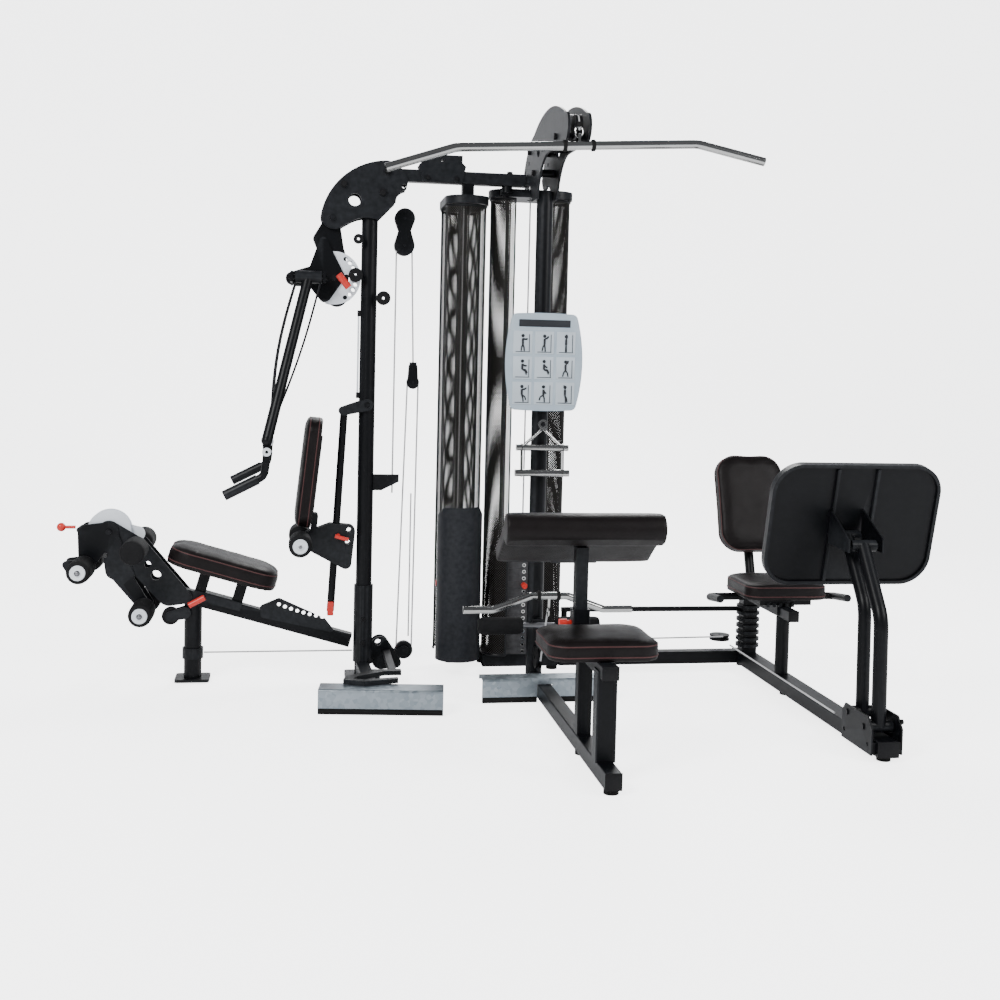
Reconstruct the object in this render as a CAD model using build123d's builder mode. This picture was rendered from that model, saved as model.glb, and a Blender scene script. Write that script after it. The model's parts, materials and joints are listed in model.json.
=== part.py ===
"""Multi station home gym: press bench, lat pulldown with curl pad, and leg press around two weight stacks.

Frame: millimetres, origin on the floor under the press tower, +X along the gym towards the leg press,
+Y towards the back, +Z up. "left" and "right" are those of a person who uses that station.
"""
from build123d import *
import os
from math import atan2, cos, degrees, radians, sin

# ---------------------------------------------------------------- driving dimensions
TOWER_OD = 60                # both main towers
TOWER_WALL = 3
BEAM = 50                    # square tube of the floor frame
BEAM_WALL = 3
FOOT = 15                    # rubber feet lift the floor frame by this much
LAT_X, LAT_Y = 625, -190     # lat tower
LEG_X = 1550                 # centre line of the leg press
STACK_Y = 100                # both weight stacks stand on this line
PRESS_STACK_X = 365
PLATE_LONG, PLATE_WIDE, PLATE_THICK = 240, 105, 25.4
PLATE_PITCH = 26
RESTING_PLATES, LIFTED_PLATES = 10, 5
GUIDE_OD, GUIDE_SPREAD = 22, 170
PRESS_PIVOT = (-139, 1726)   # x, z of the axle that the press yoke swings on
ARM_HEAD_PIVOT = (-130, 1505)
BACK_PIVOT = (0, 1037)       # x, z of the back support's hinge on the press tower
RACK_RADIUS = 812            # from the back support's hinge to its rack holes
BENCH_SLOPE = 16             # degrees, rail and seat fall towards the tower
LEVER_PIVOT = (-928, 560)    # x, z of the leg developer's axle
LEG_ARM_BASE = (-1090, 95)   # y, z of the leg press arm's lower axle
LEG_ARM_TOP = (-935, 640)    # y, z of its upper axle
LEG_LINK_STEP = (115, 15)    # y, z from the arm to the parallel link behind it

# ---------------------------------------------------------------- sizes worked out from them
BEAM_Z = FOOT + BEAM / 2
BEAM_TOP = FOOT + BEAM
TOWER_BASE = FOOT + 1                       # each tower stands on a plate of this thickness
STACK_BASE = BEAM_TOP + 5
LIFT_BASE = STACK_BASE + RESTING_PLATES * PLATE_PITCH
LIFTED_TOP = LIFT_BASE + (LIFTED_PLATES - 1) * PLATE_PITCH + PLATE_THICK
SELECTOR_Z = LIFT_BASE + PLATE_THICK / 2
STACKS = {"press": (PRESS_STACK_X, 90), "lat": (LAT_X, 0)}     # x and turn of each stack

os.makedirs("parts", exist_ok=True)


# ---------------------------------------------------------------- shapes that repeat
def tube(start, end, outer, wall=0.0):
    """Straight round tube, or a solid bar without a wall."""
    axis = Vector(*end) - Vector(*start)
    with BuildPart() as piece:
        with BuildSketch(Plane(origin=start, z_dir=axis)):
            Circle(outer / 2)
            if wall:
                Circle(outer / 2 - wall, mode=Mode.SUBTRACT)
        extrude(amount=axis.length)
    return piece.part


def beam(start, end, width, height, wall=0.0, side=(0, 0, 1), corner=4):
    """Straight rectangular tube: height is measured along side, width across it."""
    axis = Vector(*end) - Vector(*start)
    with BuildPart() as piece:
        with BuildSketch(Plane(origin=start, x_dir=side, z_dir=axis)):
            RectangleRounded(height, width, corner)
            if wall:
                RectangleRounded(height - 2 * wall, width - 2 * wall, corner - wall / 2, mode=Mode.SUBTRACT)
        extrude(amount=axis.length)
    return piece.part


def bent_tube(points, outer, bend, wall=0.0):
    """Round tube along a path of straight runs joined by bends."""
    with BuildPart() as piece:
        with BuildLine() as path:
            FilletPolyline(*points, radius=bend)
        with BuildSketch(Plane(origin=path.line @ 0, z_dir=path.line % 0)):
            Circle(outer / 2)
            if wall:
                Circle(outer / 2 - wall, mode=Mode.SUBTRACT)
        sweep()
    return piece.part


def hull_plate(plane, discs, thickness, holes=()):
    """Plate with the outline of a belt around discs (x, y, radius), drilled by holes of the same form."""
    with BuildPart() as piece:
        with BuildSketch(plane) as outline:
            for x, y, radius in discs:
                with Locations((x, y)):
                    Circle(radius)
            make_hull(outline.edges())
            for x, y, radius in holes:
                with Locations((x, y)):
                    Circle(radius, mode=Mode.SUBTRACT)
        extrude(amount=thickness)
    return piece.part


def wheel(centre, axis, radius, width, bore):
    """Cable wheel with a round groove."""
    groove = width * 0.36
    with BuildPart() as piece:
        with BuildSketch(Plane(origin=centre, z_dir=axis)):
            Circle(radius)
            Circle(bore / 2, mode=Mode.SUBTRACT)
        extrude(amount=width / 2, both=True)
        with BuildSketch(Plane(origin=centre, z_dir=axis)) as rim:
            Circle(radius + 1)
            Circle(radius - groove, mode=Mode.SUBTRACT)
        extrude(amount=groove / 2, both=True, mode=Mode.SUBTRACT)
    return piece.part


def roller(start, end, radius, bore=20.4):
    """Foam roller on an axle: rounded ends and a bore that clears the axle."""
    axis = Vector(*end) - Vector(*start)
    with BuildPart() as piece:
        with BuildSketch(Plane(origin=start, z_dir=axis)):
            Circle(radius)
        extrude(amount=axis.length)
        fillet(piece.edges(), radius=6)
        with BuildSketch(Plane(origin=start, z_dir=axis)):
            Circle(bore / 2)
        extrude(amount=axis.length, mode=Mode.SUBTRACT)
    return piece.part


def cushion(plane, length, width, thickness, corner, soft=14):
    """Plain closed pad on a plane: its base is the plane, length along the plane's x."""
    with BuildPart() as piece:
        with BuildSketch(plane):
            RectangleRounded(length, width, corner)
        extrude(amount=thickness)
        top = piece.faces().sort_by(Axis(plane.origin, plane.z_dir))[-1]
        fillet(top.edges(), radius=soft)
    return piece.part


def side_plane(y):
    """Plane that faces -Y at the given y, with sketch x along +X and sketch y along +Z."""
    return Plane(origin=(0, y, 0), x_dir=(1, 0, 0), z_dir=(0, -1, 0))


def end_plane(x):
    """Plane that faces +X at the given x, with sketch x along +Y and sketch y along +Z."""
    return Plane(origin=(x, 0, 0), x_dir=(0, 1, 0), z_dir=(1, 0, 0))


def on_bench(x, height=0.0):
    """Point above the bench rail's centre line at x, measured square to the rail."""
    slope = radians(BENCH_SLOPE)
    z = BENCH_FOOT_Z + (BENCH_FOOT_X - x) * sin(slope) / cos(slope)
    return (x + height * sin(slope), 0, z + height * cos(slope))


def around(pivot, radius, angle):
    """x, z at an angle (degrees from straight down towards -X) and radius about a pivot."""
    turn = radians(angle)
    return (pivot[0] - radius * sin(turn), pivot[1] - radius * cos(turn))


def save(part, name):
    """Label a finished piece and write its STEP file."""
    part.label = name
    export_step(part, f"parts/{name}.step")


# ---------------------------------------------------------------- floor frame
BENCH_FOOT_X, BENCH_FOOT_Z = -48, 146       # the bench rail's centre line meets the press tower here
PRESS_PLATE_Y, LAT_PLATE_Y = -485, -400
TOWER_CLEAR = TOWER_OD / 2 + 1              # floor beams butt against the towers

with BuildPart() as base_frame:
    add(beam((TOWER_CLEAR, 0, BEAM_Z), (LAT_X - 20, 0, BEAM_Z), BEAM, BEAM, BEAM_WALL))
    add(beam((0, -TOWER_CLEAR, BEAM_Z), (15, PRESS_PLATE_Y + 40, BEAM_Z), BEAM, BEAM, BEAM_WALL))
    add(beam((PRESS_STACK_X, -25, BEAM_Z), (PRESS_STACK_X, 250, BEAM_Z), BEAM, BEAM, BEAM_WALL))
    add(beam((LAT_X, LAT_PLATE_Y + 30, BEAM_Z), (LAT_X, LAT_Y - TOWER_CLEAR, BEAM_Z), BEAM, BEAM, BEAM_WALL))
    add(beam((LAT_X, LAT_Y + TOWER_CLEAR, BEAM_Z), (LAT_X, 250, BEAM_Z), BEAM, BEAM, BEAM_WALL))
    add(beam((PRESS_STACK_X, 225, BEAM_Z), (LAT_X, 225, BEAM_Z), BEAM, BEAM, BEAM_WALL))
    add(beam((LAT_X - 150, STACK_Y, BEAM_Z), (LAT_X + 150, STACK_Y, BEAM_Z), BEAM, BEAM, BEAM_WALL))
    with BuildSketch(Plane.XY):
        with Locations((0, 0)):
            RectangleRounded(130, 130, 12)
        with Locations((LAT_X, LAT_Y)):
            RectangleRounded(130, 130, 12)
    extrude(amount=TOWER_BASE)
save(base_frame.part, "base_frame")

# ---------------------------------------------------------------- foot plates: bright folded sheet
PLATE_TOP = 85
SHEET = 3


def foot_plate(centre, turn, length, depth):
    """Folded sheet step: level top, full front face and a short back lip."""
    place = Plane(origin=(centre[0], centre[1], 0)).rotated((0, 0, turn))
    across = Plane(origin=place.origin - place.x_dir * (length / 2), x_dir=place.y_dir, z_dir=place.x_dir)
    with BuildPart() as piece:
        with BuildSketch(across):
            with BuildLine():
                FilletPolyline((-depth, 4), (-depth, PLATE_TOP), (0, PLATE_TOP), (0, PLATE_TOP - 14),
                               radius=6)
                offset(amount=SHEET, side=Side.LEFT)
            make_face()
        extrude(amount=length)
    return piece.part


with BuildPart() as foot_plates:
    add(foot_plate((45, PRESS_PLATE_Y + 50), -7, 425, 90))
    add(foot_plate((LAT_X + 5, LAT_PLATE_Y + 75), 0, 460, 78))
    with BuildSketch(Plane.XY):              # notch where the seat rail passes
        with Locations((LAT_X, LAT_PLATE_Y - 10)):
            Rectangle(BEAM + 4, 40)
    extrude(amount=BEAM_TOP + 2, mode=Mode.SUBTRACT)
save(foot_plates.part, "foot_plates")

# ---------------------------------------------------------------- press tower and its head
SLEEVE_OD, SLEEVE_TOP = 72, 357
TOWER_TOP = 1760
HEAD_IN = TOWER_OD / 2 + 2                  # head plates sit this far from the tower's centre plane
HEAD_THICK = 8

with BuildPart() as press_tower:
    add(tube((0, 0, TOWER_BASE), (0, 0, TOWER_TOP), TOWER_OD, TOWER_WALL))
    add(tube((0, 0, BEAM_TOP), (0, 0, SLEEVE_TOP), SLEEVE_OD, (SLEEVE_OD - TOWER_OD) / 2))
    with BuildSketch(side_plane(10)):       # lug that carries the middle cable end
        with BuildLine():
            Polyline((26, 775), (125, 775), (125, 748), (60, 715), (26, 715), close=True)
        make_face()
    extrude(amount=20)
    with BuildSketch(side_plane(-32)):      # stub behind the clear pivot of the back support
        with Locations(BACK_PIVOT):
            Circle(11)
    extrude(amount=-64)
save(press_tower.part, "press_tower")

with BuildPart() as press_head_plates:
    for inner in (-HEAD_IN, HEAD_IN + HEAD_THICK):
        with BuildSketch(side_plane(inner)):
            with BuildLine():
                ThreePointArc((-181, 1745), (-85, 1893), (60, 1943))
                ThreePointArc((60, 1943), (113, 1914), (136, 1865))
                Line((136, 1865), (130, 1838))
                ThreePointArc((130, 1838), (100, 1817), (92, 1789))
                Line((92, 1789), (30, 1723))
                ThreePointArc((30, 1723), (-24, 1729), (-78, 1710))
                Line((-78, 1710), (-118, 1686))
                ThreePointArc((-118, 1686), (-165, 1695), (-181, 1745))
            make_face()
            with Locations((-59, 1794)):
                Circle(23, mode=Mode.SUBTRACT)
            with Locations((122, 1851)):
                Circle(8, mode=Mode.SUBTRACT)
            with Locations(PRESS_PIVOT):
                Circle(12.1, mode=Mode.SUBTRACT)
        extrude(amount=HEAD_THICK)
    for x, z in ((44, 1824), (60, 1905), (-100, 1850)):     # spacers between the plates
        add(tube((x, -HEAD_IN, z), (x, HEAD_IN, z), 30, 6))
save(press_head_plates.part, "press_head_plates")

# ---------------------------------------------------------------- top beam, stack caps and wheel bracket
TOP_BEAM_Z, TOP_BEAM_H = 1895, 46
PRESS_CAP_Z, LAT_CAP_Z, CAP_THICK = 1798, 1838, 30
TOP_WHEEL = (265, 1955)

with BuildPart() as top_beam:
    add(beam((96, 0, TOP_BEAM_Z), (LAT_X - 42, 0, TOP_BEAM_Z), 46, TOP_BEAM_H, BEAM_WALL))
    for y in (-23, 29):
        with BuildSketch(side_plane(y)):
            with BuildLine():
                Polyline((190, 1875), (176, 1935), (190, 1948), (190, 1975), (340, 1975), (340, 1948),
                         (354, 1935), (340, 1875), close=True)
            make_face()
            with Locations(TOP_WHEEL):
                Circle(6, mode=Mode.SUBTRACT)
        extrude(amount=6)
    add(beam((PRESS_STACK_X, 0, PRESS_CAP_Z + CAP_THICK), (PRESS_STACK_X, 0, TOP_BEAM_Z), 44, 44,
             side=(1, 0, 0)))
    for name, cap_z in (("press", PRESS_CAP_Z), ("lat", LAT_CAP_Z)):
        stack_x, turn = STACKS[name]
        cap_plane = Plane(origin=(stack_x, STACK_Y, cap_z)).rotated((0, 0, turn))
        with BuildSketch(cap_plane):
            RectangleRounded(326, 166, 76)
            Circle(14, mode=Mode.SUBTRACT)
            with GridLocations(GUIDE_SPREAD, 1, 2, 1):
                Circle(GUIDE_OD / 2 + 0.2, mode=Mode.SUBTRACT)
        extrude(amount=CAP_THICK)
    add(tube((LAT_X - 110, 0, TOP_BEAM_Z - 10), (LAT_X - 110, 0, LAT_CAP_Z + 10), 40))
    add(beam((LAT_X - 110, 0, LAT_CAP_Z + 15), (LAT_X - 110, 60, LAT_CAP_Z + 15), 44, 30))
save(top_beam.part, "top_beam")

# ---------------------------------------------------------------- lat tower and its long head
LAT_NOSE = (-690, 1975)      # y, z of the front wheel
LAT_REAR = (-400, 2030)
with BuildPart() as lat_tower:
    add(tube((LAT_X, LAT_Y, TOWER_BASE), (LAT_X, LAT_Y, 1830), TOWER_OD, TOWER_WALL))
    for z in (1120, 1300):                  # placard brackets
        add(beam((LAT_X, LAT_Y - 28, z), (LAT_X, LAT_Y - 52, z), 40, 8, side=(0, 0, 1), corner=2))
    add(beam((LAT_X, LAT_Y - 28, 250), (LAT_X, LAT_Y - 66, 250), 40, 40, side=(0, 0, 1)))
    add(tube((LAT_X, LAT_Y - 28, 985), (LAT_X, LAT_Y - 72, 985), 14))      # hook of the row handle
save(lat_tower.part, "lat_tower")

with BuildPart() as lat_head_plates:
    for inner in (LAT_X - HEAD_IN - HEAD_THICK, LAT_X + HEAD_IN):
        with BuildSketch(end_plane(inner)):
            with BuildLine():
                ThreePointArc((-235, 1800), (-285, 1885), (-400, 1935))
                Line((-400, 1935), (-680, 1926))
                ThreePointArc((-680, 1926), (-739, 1977), (-686, 2023))
                ThreePointArc((-686, 2023), (-400, 2086), (-150, 2040))
                ThreePointArc((-150, 2040), (-20, 1985), (45, 1905))
                ThreePointArc((45, 1905), (10, 1868), (-60, 1872))
                ThreePointArc((-60, 1872), (-110, 1855), (-145, 1800))
                Line((-145, 1800), (-235, 1800))
            make_face()
            with Locations((-250, 1975)):
                Circle(30, mode=Mode.SUBTRACT)
            with Locations((-5, 1925), (-70, 1950)):
                Circle(8, mode=Mode.SUBTRACT)
        extrude(amount=HEAD_THICK)
    for y, z in ((-330, 1965), (-180, 1900), (-560, 1965), (-90, 1990)):
        add(tube((LAT_X - HEAD_IN, y, z), (LAT_X + HEAD_IN, y, z), 30, 6))
save(lat_head_plates.part, "lat_head_plates")

# ---------------------------------------------------------------- guide wheels that stay on the frame
WHEEL_W = 22
with BuildPart() as fixed_pulleys:
    for y, z, radius in ((*LAT_NOSE, 40), (*LAT_REAR, 46), (-60, 1945, 26)):
        add(wheel((LAT_X, y, z), (1, 0, 0), radius, WHEEL_W, 10.2))
    add(wheel((TOP_WHEEL[0], 0, TOP_WHEEL[1]), (0, 1, 0), 30, WHEEL_W, 10.2))
    for x, z, radius in ((-44, 1650, 18), (-52, 1517, 26), (52, 1435, 26)):
        add(wheel((x, -46, z), (0, 1, 0), radius, 18, 10.2))
    add(wheel((-706, -31, 250), (0, 1, 0), 32, WHEEL_W, 10.2))
    add(wheel((LAT_X, LAT_Y - 70, 130), (1, 0, 0), 40, WHEEL_W, 10.2))
    add(wheel((LEG_X - 90, 135, 110), (0, 0, 1), 40, WHEEL_W, 10.2))
save(fixed_pulleys.part, "fixed_pulleys")

# ---------------------------------------------------------------- weight stacks


def stack_plane(name, z):
    """Level plane at a stack's centre, with sketch x along the stack's long side."""
    stack_x, turn = STACKS[name]
    return Plane(origin=(stack_x, STACK_Y, z)).rotated((0, 0, turn))


def weight_plates(name, base, count):
    """Cast plates in a pile, each with guide holes, a rod hole and a selector hole in its front face."""
    with BuildPart() as pile:
        for level in range(count):
            with BuildSketch(stack_plane(name, base + level * PLATE_PITCH)):
                RectangleRounded(PLATE_LONG, PLATE_WIDE, 8)
                Circle(10.6, mode=Mode.SUBTRACT)
                with GridLocations(GUIDE_SPREAD, 1, 2, 1):
                    Circle(GUIDE_OD / 2 + 0.8, mode=Mode.SUBTRACT)
            extrude(amount=PLATE_THICK)
        front = stack_plane(name, base + PLATE_THICK / 2)
        toward = front.y_dir * (1 if name == "press" else -1)
        for level in range(count):
            centre = front.origin + Vector(0, 0, level * PLATE_PITCH)
            with BuildSketch(Plane(origin=centre, z_dir=toward)):
                Circle(5.5)
            extrude(amount=PLATE_WIDE, mode=Mode.SUBTRACT)
    return pile.part


def selector_rod(name):
    """Bored rod that hangs through the pile under the lifted plates' head."""
    base = stack_plane(name, STACK_BASE + 4)
    length = LIFT_BASE + LIFTED_PLATES * PLATE_PITCH + 46 - STACK_BASE - 4
    toward = base.y_dir * (1 if name == "press" else -1)
    with BuildPart() as rod:
        with BuildSketch(base):
            Circle(10)
        extrude(amount=length)
        with BuildSketch(Plane(origin=base.origin + Vector(0, 0, length - 40), z_dir=(0, 0, 1))):
            Circle(5)
        extrude(amount=40, mode=Mode.SUBTRACT)
        for level in range(RESTING_PLATES + LIFTED_PLATES):
            z = STACK_BASE + PLATE_THICK / 2 + level * PLATE_PITCH
            centre = Vector(base.origin.X, base.origin.Y, z)
            with BuildSketch(Plane(origin=centre, z_dir=toward)):
                Circle(5.5)
            extrude(amount=12, mode=Mode.SUBTRACT)
    return rod.part


with BuildPart() as resting_weight_plates:
    for name in STACKS:
        add(weight_plates(name, STACK_BASE, RESTING_PLATES))
save(resting_weight_plates.part, "resting_weight_plates")

for name in STACKS:
    with BuildPart() as lifted:
        add(weight_plates(name, LIFT_BASE, LIFTED_PLATES))
        add(selector_rod(name))
        with BuildSketch(stack_plane(name, LIFTED_TOP)):
            Circle(16)
            Circle(5, mode=Mode.SUBTRACT)
        extrude(amount=40)
    save(lifted.part, f"{name}_weight_plates")

    with BuildPart() as selector:
        face = stack_plane(name, SELECTOR_Z)
        toward = face.y_dir * (1 if name == "press" else -1)
        tip = face.origin + toward * 12
        with BuildSketch(Plane(origin=tip, z_dir=toward)):
            Circle(4.8)
        extrude(amount=PLATE_WIDE / 2 - 10)
        with BuildSketch(Plane(origin=face.origin + toward * (PLATE_WIDE / 2 + 1), z_dir=toward)):
            Circle(11)
        extrude(amount=26)
    save(selector.part, f"{name}_selector_pin")

with BuildPart() as stack_guide_rods:
    for name, cap_z in (("press", PRESS_CAP_Z), ("lat", LAT_CAP_Z)):
        with BuildSketch(stack_plane(name, BEAM_TOP + 0.5)):
            with GridLocations(GUIDE_SPREAD, 1, 2, 1):
                Circle(GUIDE_OD / 2)
                Circle(GUIDE_OD / 2 - 2.5, mode=Mode.SUBTRACT)
        extrude(amount=cap_z + CAP_THICK - 2 - BEAM_TOP)
save(stack_guide_rods.part, "stack_guide_rods")

SCREEN_R, SCREEN_T = 76, 2   # each stack end is wrapped by a curved perforated screen
SCREEN_OUT = 79              # from a stack's centre to the centre of each screen
SCREEN_EDGE, COVER_EDGE = 89, 85    # the screens and the cover start this far from the stack's centre
CUT = 400                    # cutting blocks of this size are larger than any screen

with BuildPart() as stack_screens:
    for name, cap_z in (("press", PRESS_CAP_Z), ("lat", LAT_CAP_Z)):
        for side in (-1, 1):
            with BuildSketch(stack_plane(name, BEAM_TOP + 1)):
                with Locations((side * SCREEN_OUT, 0)):
                    Circle(SCREEN_R)
                    Circle(SCREEN_R - SCREEN_T, mode=Mode.SUBTRACT)
                with Locations((side * (SCREEN_EDGE - CUT / 2), 0)):
                    Rectangle(CUT, CUT, mode=Mode.SUBTRACT)
            extrude(amount=cap_z - BEAM_TOP - 2)
save(stack_screens.part, "stack_screens")

COVER_TOP, COVER_R, COVER_T = 655, 86, 4
with BuildPart() as press_stack_cover:
    with BuildSketch(stack_plane("press", BEAM_TOP + 1)):
        with Locations((-SCREEN_OUT, 0)):
            Circle(COVER_R)
            Circle(COVER_R - COVER_T, mode=Mode.SUBTRACT)
        with Locations((CUT / 2 - COVER_EDGE, 0)):
            Rectangle(CUT, CUT, mode=Mode.SUBTRACT)
    extrude(amount=COVER_TOP - BEAM_TOP)
    with BuildSketch(Plane.XZ.offset(-CUT / 2)):             # slanted shoulders at its top
        with BuildLine():
            Polyline((PRESS_STACK_X + 44, 700), (PRESS_STACK_X + 100, 700), (PRESS_STACK_X + 100, 596),
                     close=True)
        make_face()
        mirror(about=Plane.YZ.offset(PRESS_STACK_X))
    extrude(amount=CUT, mode=Mode.SUBTRACT)
save(press_stack_cover.part, "press_stack_cover")

# ---------------------------------------------------------------- press yoke and its pin
YOKE_Y, SECTOR_Y, ARM_HEAD_Y = 14, 23, 29   # inner faces of the layers, measured from the centre plane
SECTOR_R, SECTOR_HOLE_R = 98, 82
SECTOR_ANGLES = range(-60, 61, 15)


def both_sides(inner, thickness):
    """Planes that face -Y whose extrusions by thickness stand at +inner and -inner."""
    return side_plane(-inner), side_plane(inner + thickness)


with BuildPart() as press_yoke:
    add(tube((PRESS_PIVOT[0], -HEAD_IN + 1, PRESS_PIVOT[1]),
             (PRESS_PIVOT[0], HEAD_IN - 1, PRESS_PIVOT[1]), 46))
    add(tube((PRESS_PIVOT[0], -44, PRESS_PIVOT[1]), (PRESS_PIVOT[0], 44, PRESS_PIVOT[1]), 24))
    for plane in both_sides(YOKE_Y, 8):
        add(hull_plate(plane, ((*PRESS_PIVOT, 24), (-195, 1650, 14), (-140, 1600, 46)), 8))
        body = ((-140, 1590, 50), (ARM_HEAD_PIVOT[0] - 6, ARM_HEAD_PIVOT[1], 60), (-118, 1440, 40))
        add(hull_plate(plane, body, 8, ((-150, 1555, 12), (*ARM_HEAD_PIVOT, 12.1))))
    for x, z in ((-150, 1622), (-110, 1440)):
        add(tube((x, -YOKE_Y, z), (x, YOKE_Y, z), 26))
save(press_yoke.part, "press_yoke")

with BuildPart() as press_sector_plates:
    for plane in both_sides(SECTOR_Y, 4):
        with BuildSketch(plane):
            with Locations(ARM_HEAD_PIVOT):
                Circle(SECTOR_R)
            with Locations((ARM_HEAD_PIVOT[0] - 150, ARM_HEAD_PIVOT[1])):
                Rectangle(240, 240, mode=Mode.SUBTRACT)
            for angle in SECTOR_ANGLES:
                x = ARM_HEAD_PIVOT[0] + SECTOR_HOLE_R * cos(radians(angle))
                z = ARM_HEAD_PIVOT[1] + SECTOR_HOLE_R * sin(radians(angle))
                with Locations((x, z)):
                    Circle(8, mode=Mode.SUBTRACT)
            with Locations(ARM_HEAD_PIVOT):
                Circle(12.1, mode=Mode.SUBTRACT)
            with Locations((ARM_HEAD_PIVOT[0] + 46, ARM_HEAD_PIVOT[1])):
                Circle(14, mode=Mode.SUBTRACT)
        extrude(amount=4)
save(press_sector_plates.part, "press_sector_plates")

# ---------------------------------------------------------------- arm head, which carries both arms
ARM_AXLE = (-225, 100, 1500)                # centre of the right arm's axle, which lies along X
ARM_AXLE_HALF = 60

with BuildPart() as press_arm_head:
    add(tube((ARM_HEAD_PIVOT[0], -ARM_HEAD_Y - 8, ARM_HEAD_PIVOT[1]),
             (ARM_HEAD_PIVOT[0], ARM_HEAD_Y + 8, ARM_HEAD_PIVOT[1]), 24))
    for plane in both_sides(ARM_HEAD_Y, 6):
        add(hull_plate(plane, ((*ARM_HEAD_PIVOT, 26), (-285, 1500, 22), (-180, 1530, 26)), 6,
                       ((-190, 1510, 10),)))
        add(hull_plate(plane, ((-172, 1640, 14), (-116, 1510, 24), (-162, 1438, 22), (-215, 1500, 20)), 6))
    add(beam((-285, -123, 1500), (-285, 123, 1500), 10, 40))      # cheeks that hold the two arm axles
    for side in (-1, 1):
        add(beam((-168, side * ARM_HEAD_Y, 1500), (-168, side * 123, 1500), 10, 40))
    for side in (-1, 1):
        y = side * ARM_AXLE[1]
        add(tube((ARM_AXLE[0] - ARM_AXLE_HALF - 14, y, 1500), (ARM_AXLE[0] + ARM_AXLE_HALF + 8, y, 1500), 18))
save(press_arm_head.part, "press_arm_head")

with BuildPart() as press_arm_pin:           # red lever on the near head plate
    add(tube((-108, -ARM_HEAD_Y - 7, 1500), (-108, -78, 1500), 16))
    add(tube((-116, -84, 1515), (-78, -84, 1468), 26))
save(press_arm_pin.part, "press_arm_pin")

ARM_OD, ARM_END_Y, ARM_END = 38, 285, (-362, 915)
for name, side in (("left", -1), ("right", 1)):
    top = (ARM_AXLE[0], side * ARM_AXLE[1], ARM_AXLE[2])
    end = (ARM_END[0], side * ARM_END_Y, ARM_END[1])
    with BuildPart() as press_arm:
        add(tube((ARM_AXLE[0] - 48, top[1], top[2]), (ARM_AXLE[0] + 48, top[1], top[2]), 46))
        add(tube(top, end, ARM_OD))
        with Locations(end):
            Sphere(ARM_OD / 2 + 1)
        add(hull_plate(side_plane(end[1] + 4), ((end[0], end[2], 16), (end[0], end[2] - 40, 13)), 8))
        add(tube((ARM_AXLE[0] - 60, top[1], top[2]), (ARM_AXLE[0] + 60, top[1], top[2]), 18.6),
            mode=Mode.SUBTRACT)
        with BuildSketch(side_plane(end[1] + 10)):
            with Locations((end[0], end[2] - 40)):
                Circle(5.3)
        extrude(amount=20, mode=Mode.SUBTRACT)
    save(press_arm.part, f"{name}_press_arm")

    pivot_z = end[2] - 40
    with BuildPart() as press_handle:        # forked swivel, curved neck and grip
        for inner in (end[1] - 5, end[1] + 10):
            add(hull_plate(side_plane(inner), ((end[0], pivot_z, 13), (end[0] - 2, pivot_z - 34, 13)), 5))
        add(tube((end[0], end[1] - 13, pivot_z), (end[0], end[1] + 13, pivot_z), 10))
        neck = (end[0] - 2, end[1])
        add(beam((*neck, pivot_z - 22), (*neck, pivot_z - 48), 20, 20, side=(1, 0, 0)))
        add(bent_tube(((*neck, pivot_z - 40), (end[0] - 8, end[1], 790), (end[0] - 140, end[1], 722)), 28, 34))
        add(tube((end[0] - 30, end[1], 778.7), (end[0] - 144, end[1], 720), 36))
    save(press_handle.part, f"{name}_press_handle")

# ---------------------------------------------------------------- cable blocks beside the press tower
with BuildPart() as cable_blocks:
    # upper block: two wheels in a waisted double plate
    for inner in (36, 70):
        add(hull_plate(side_plane(inner), ((134, 1742, 38), (134, 1696, 22)), 5))
        add(hull_plate(side_plane(inner), ((134, 1640, 38), (134, 1696, 22)), 5))
    for z in (1742, 1640):
        add(wheel((134, 50, z), (0, 1, 0), 34, WHEEL_W, 9.6))
        add(tube((134, 30, z), (134, 71, z), 10))

    # lower block: single wheel in a small fork with a clip on top
    for inner in (38, 66):
        add(hull_plate(side_plane(inner), ((176, 1182, 16), (176, 1118, 20)), 4))
    add(beam((176, 50, 1176), (176, 50, 1200), 24, 26, side=(1, 0, 0)))
    add(wheel((176, 50, 1124), (0, 1, 0), 24, 18, 8.6))
    add(tube((176, 33, 1124), (176, 67, 1124), 9))
save(cable_blocks.part, "cable_blocks")

with BuildPart() as low_pulley_bracket:      # turned bracket and wheel at the foot of the press tower
    for inner in (26, 62):
        add(hull_plate(side_plane(inner), ((67, 118, 34), (72, 60, 34), (130, 50, 20)), 6, ((60, 130, 12),)))
    add(wheel((160, 43, 96), (0, 1, 0), 34, WHEEL_W, 10.2))
    for inner in (28, 60):
        add(hull_plate(side_plane(inner), ((160, 96, 18), (110, 70, 18)), 5))
    add(tube((160, 22, 96), (160, 61, 96), 12))
    with BuildSketch(Plane.XY.offset(PLATE_TOP + 4)):       # forked step lever over the foot plate
        with BuildLine():
            Polyline((-55, -430), (-40, -400), (60, -330), (120, -330), (120, -300), (40, -300), (-80, -390),
                     (-90, -440), (-20, -470), (100, -440), (100, -415), (-20, -440), close=True)
        make_face()
    extrude(amount=16)
    add(beam((90, -320, PLATE_TOP + 12), (90, 20, PLATE_TOP + 12), 30, 14, side=(0, 0, 1)))
save(low_pulley_bracket.part, "low_pulley_bracket")

# ---------------------------------------------------------------- back support of the press bench
PAD_LEAN = 6                 # degrees the back pad leans
BAR_OD = 28
LUMBAR = (-240, 528)         # x, z of the lumbar roller's axle, which the pad tilts on
bar_foot = around(BACK_PIVOT, 790, 9)
bar_knee = (-84, 1012)

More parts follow.
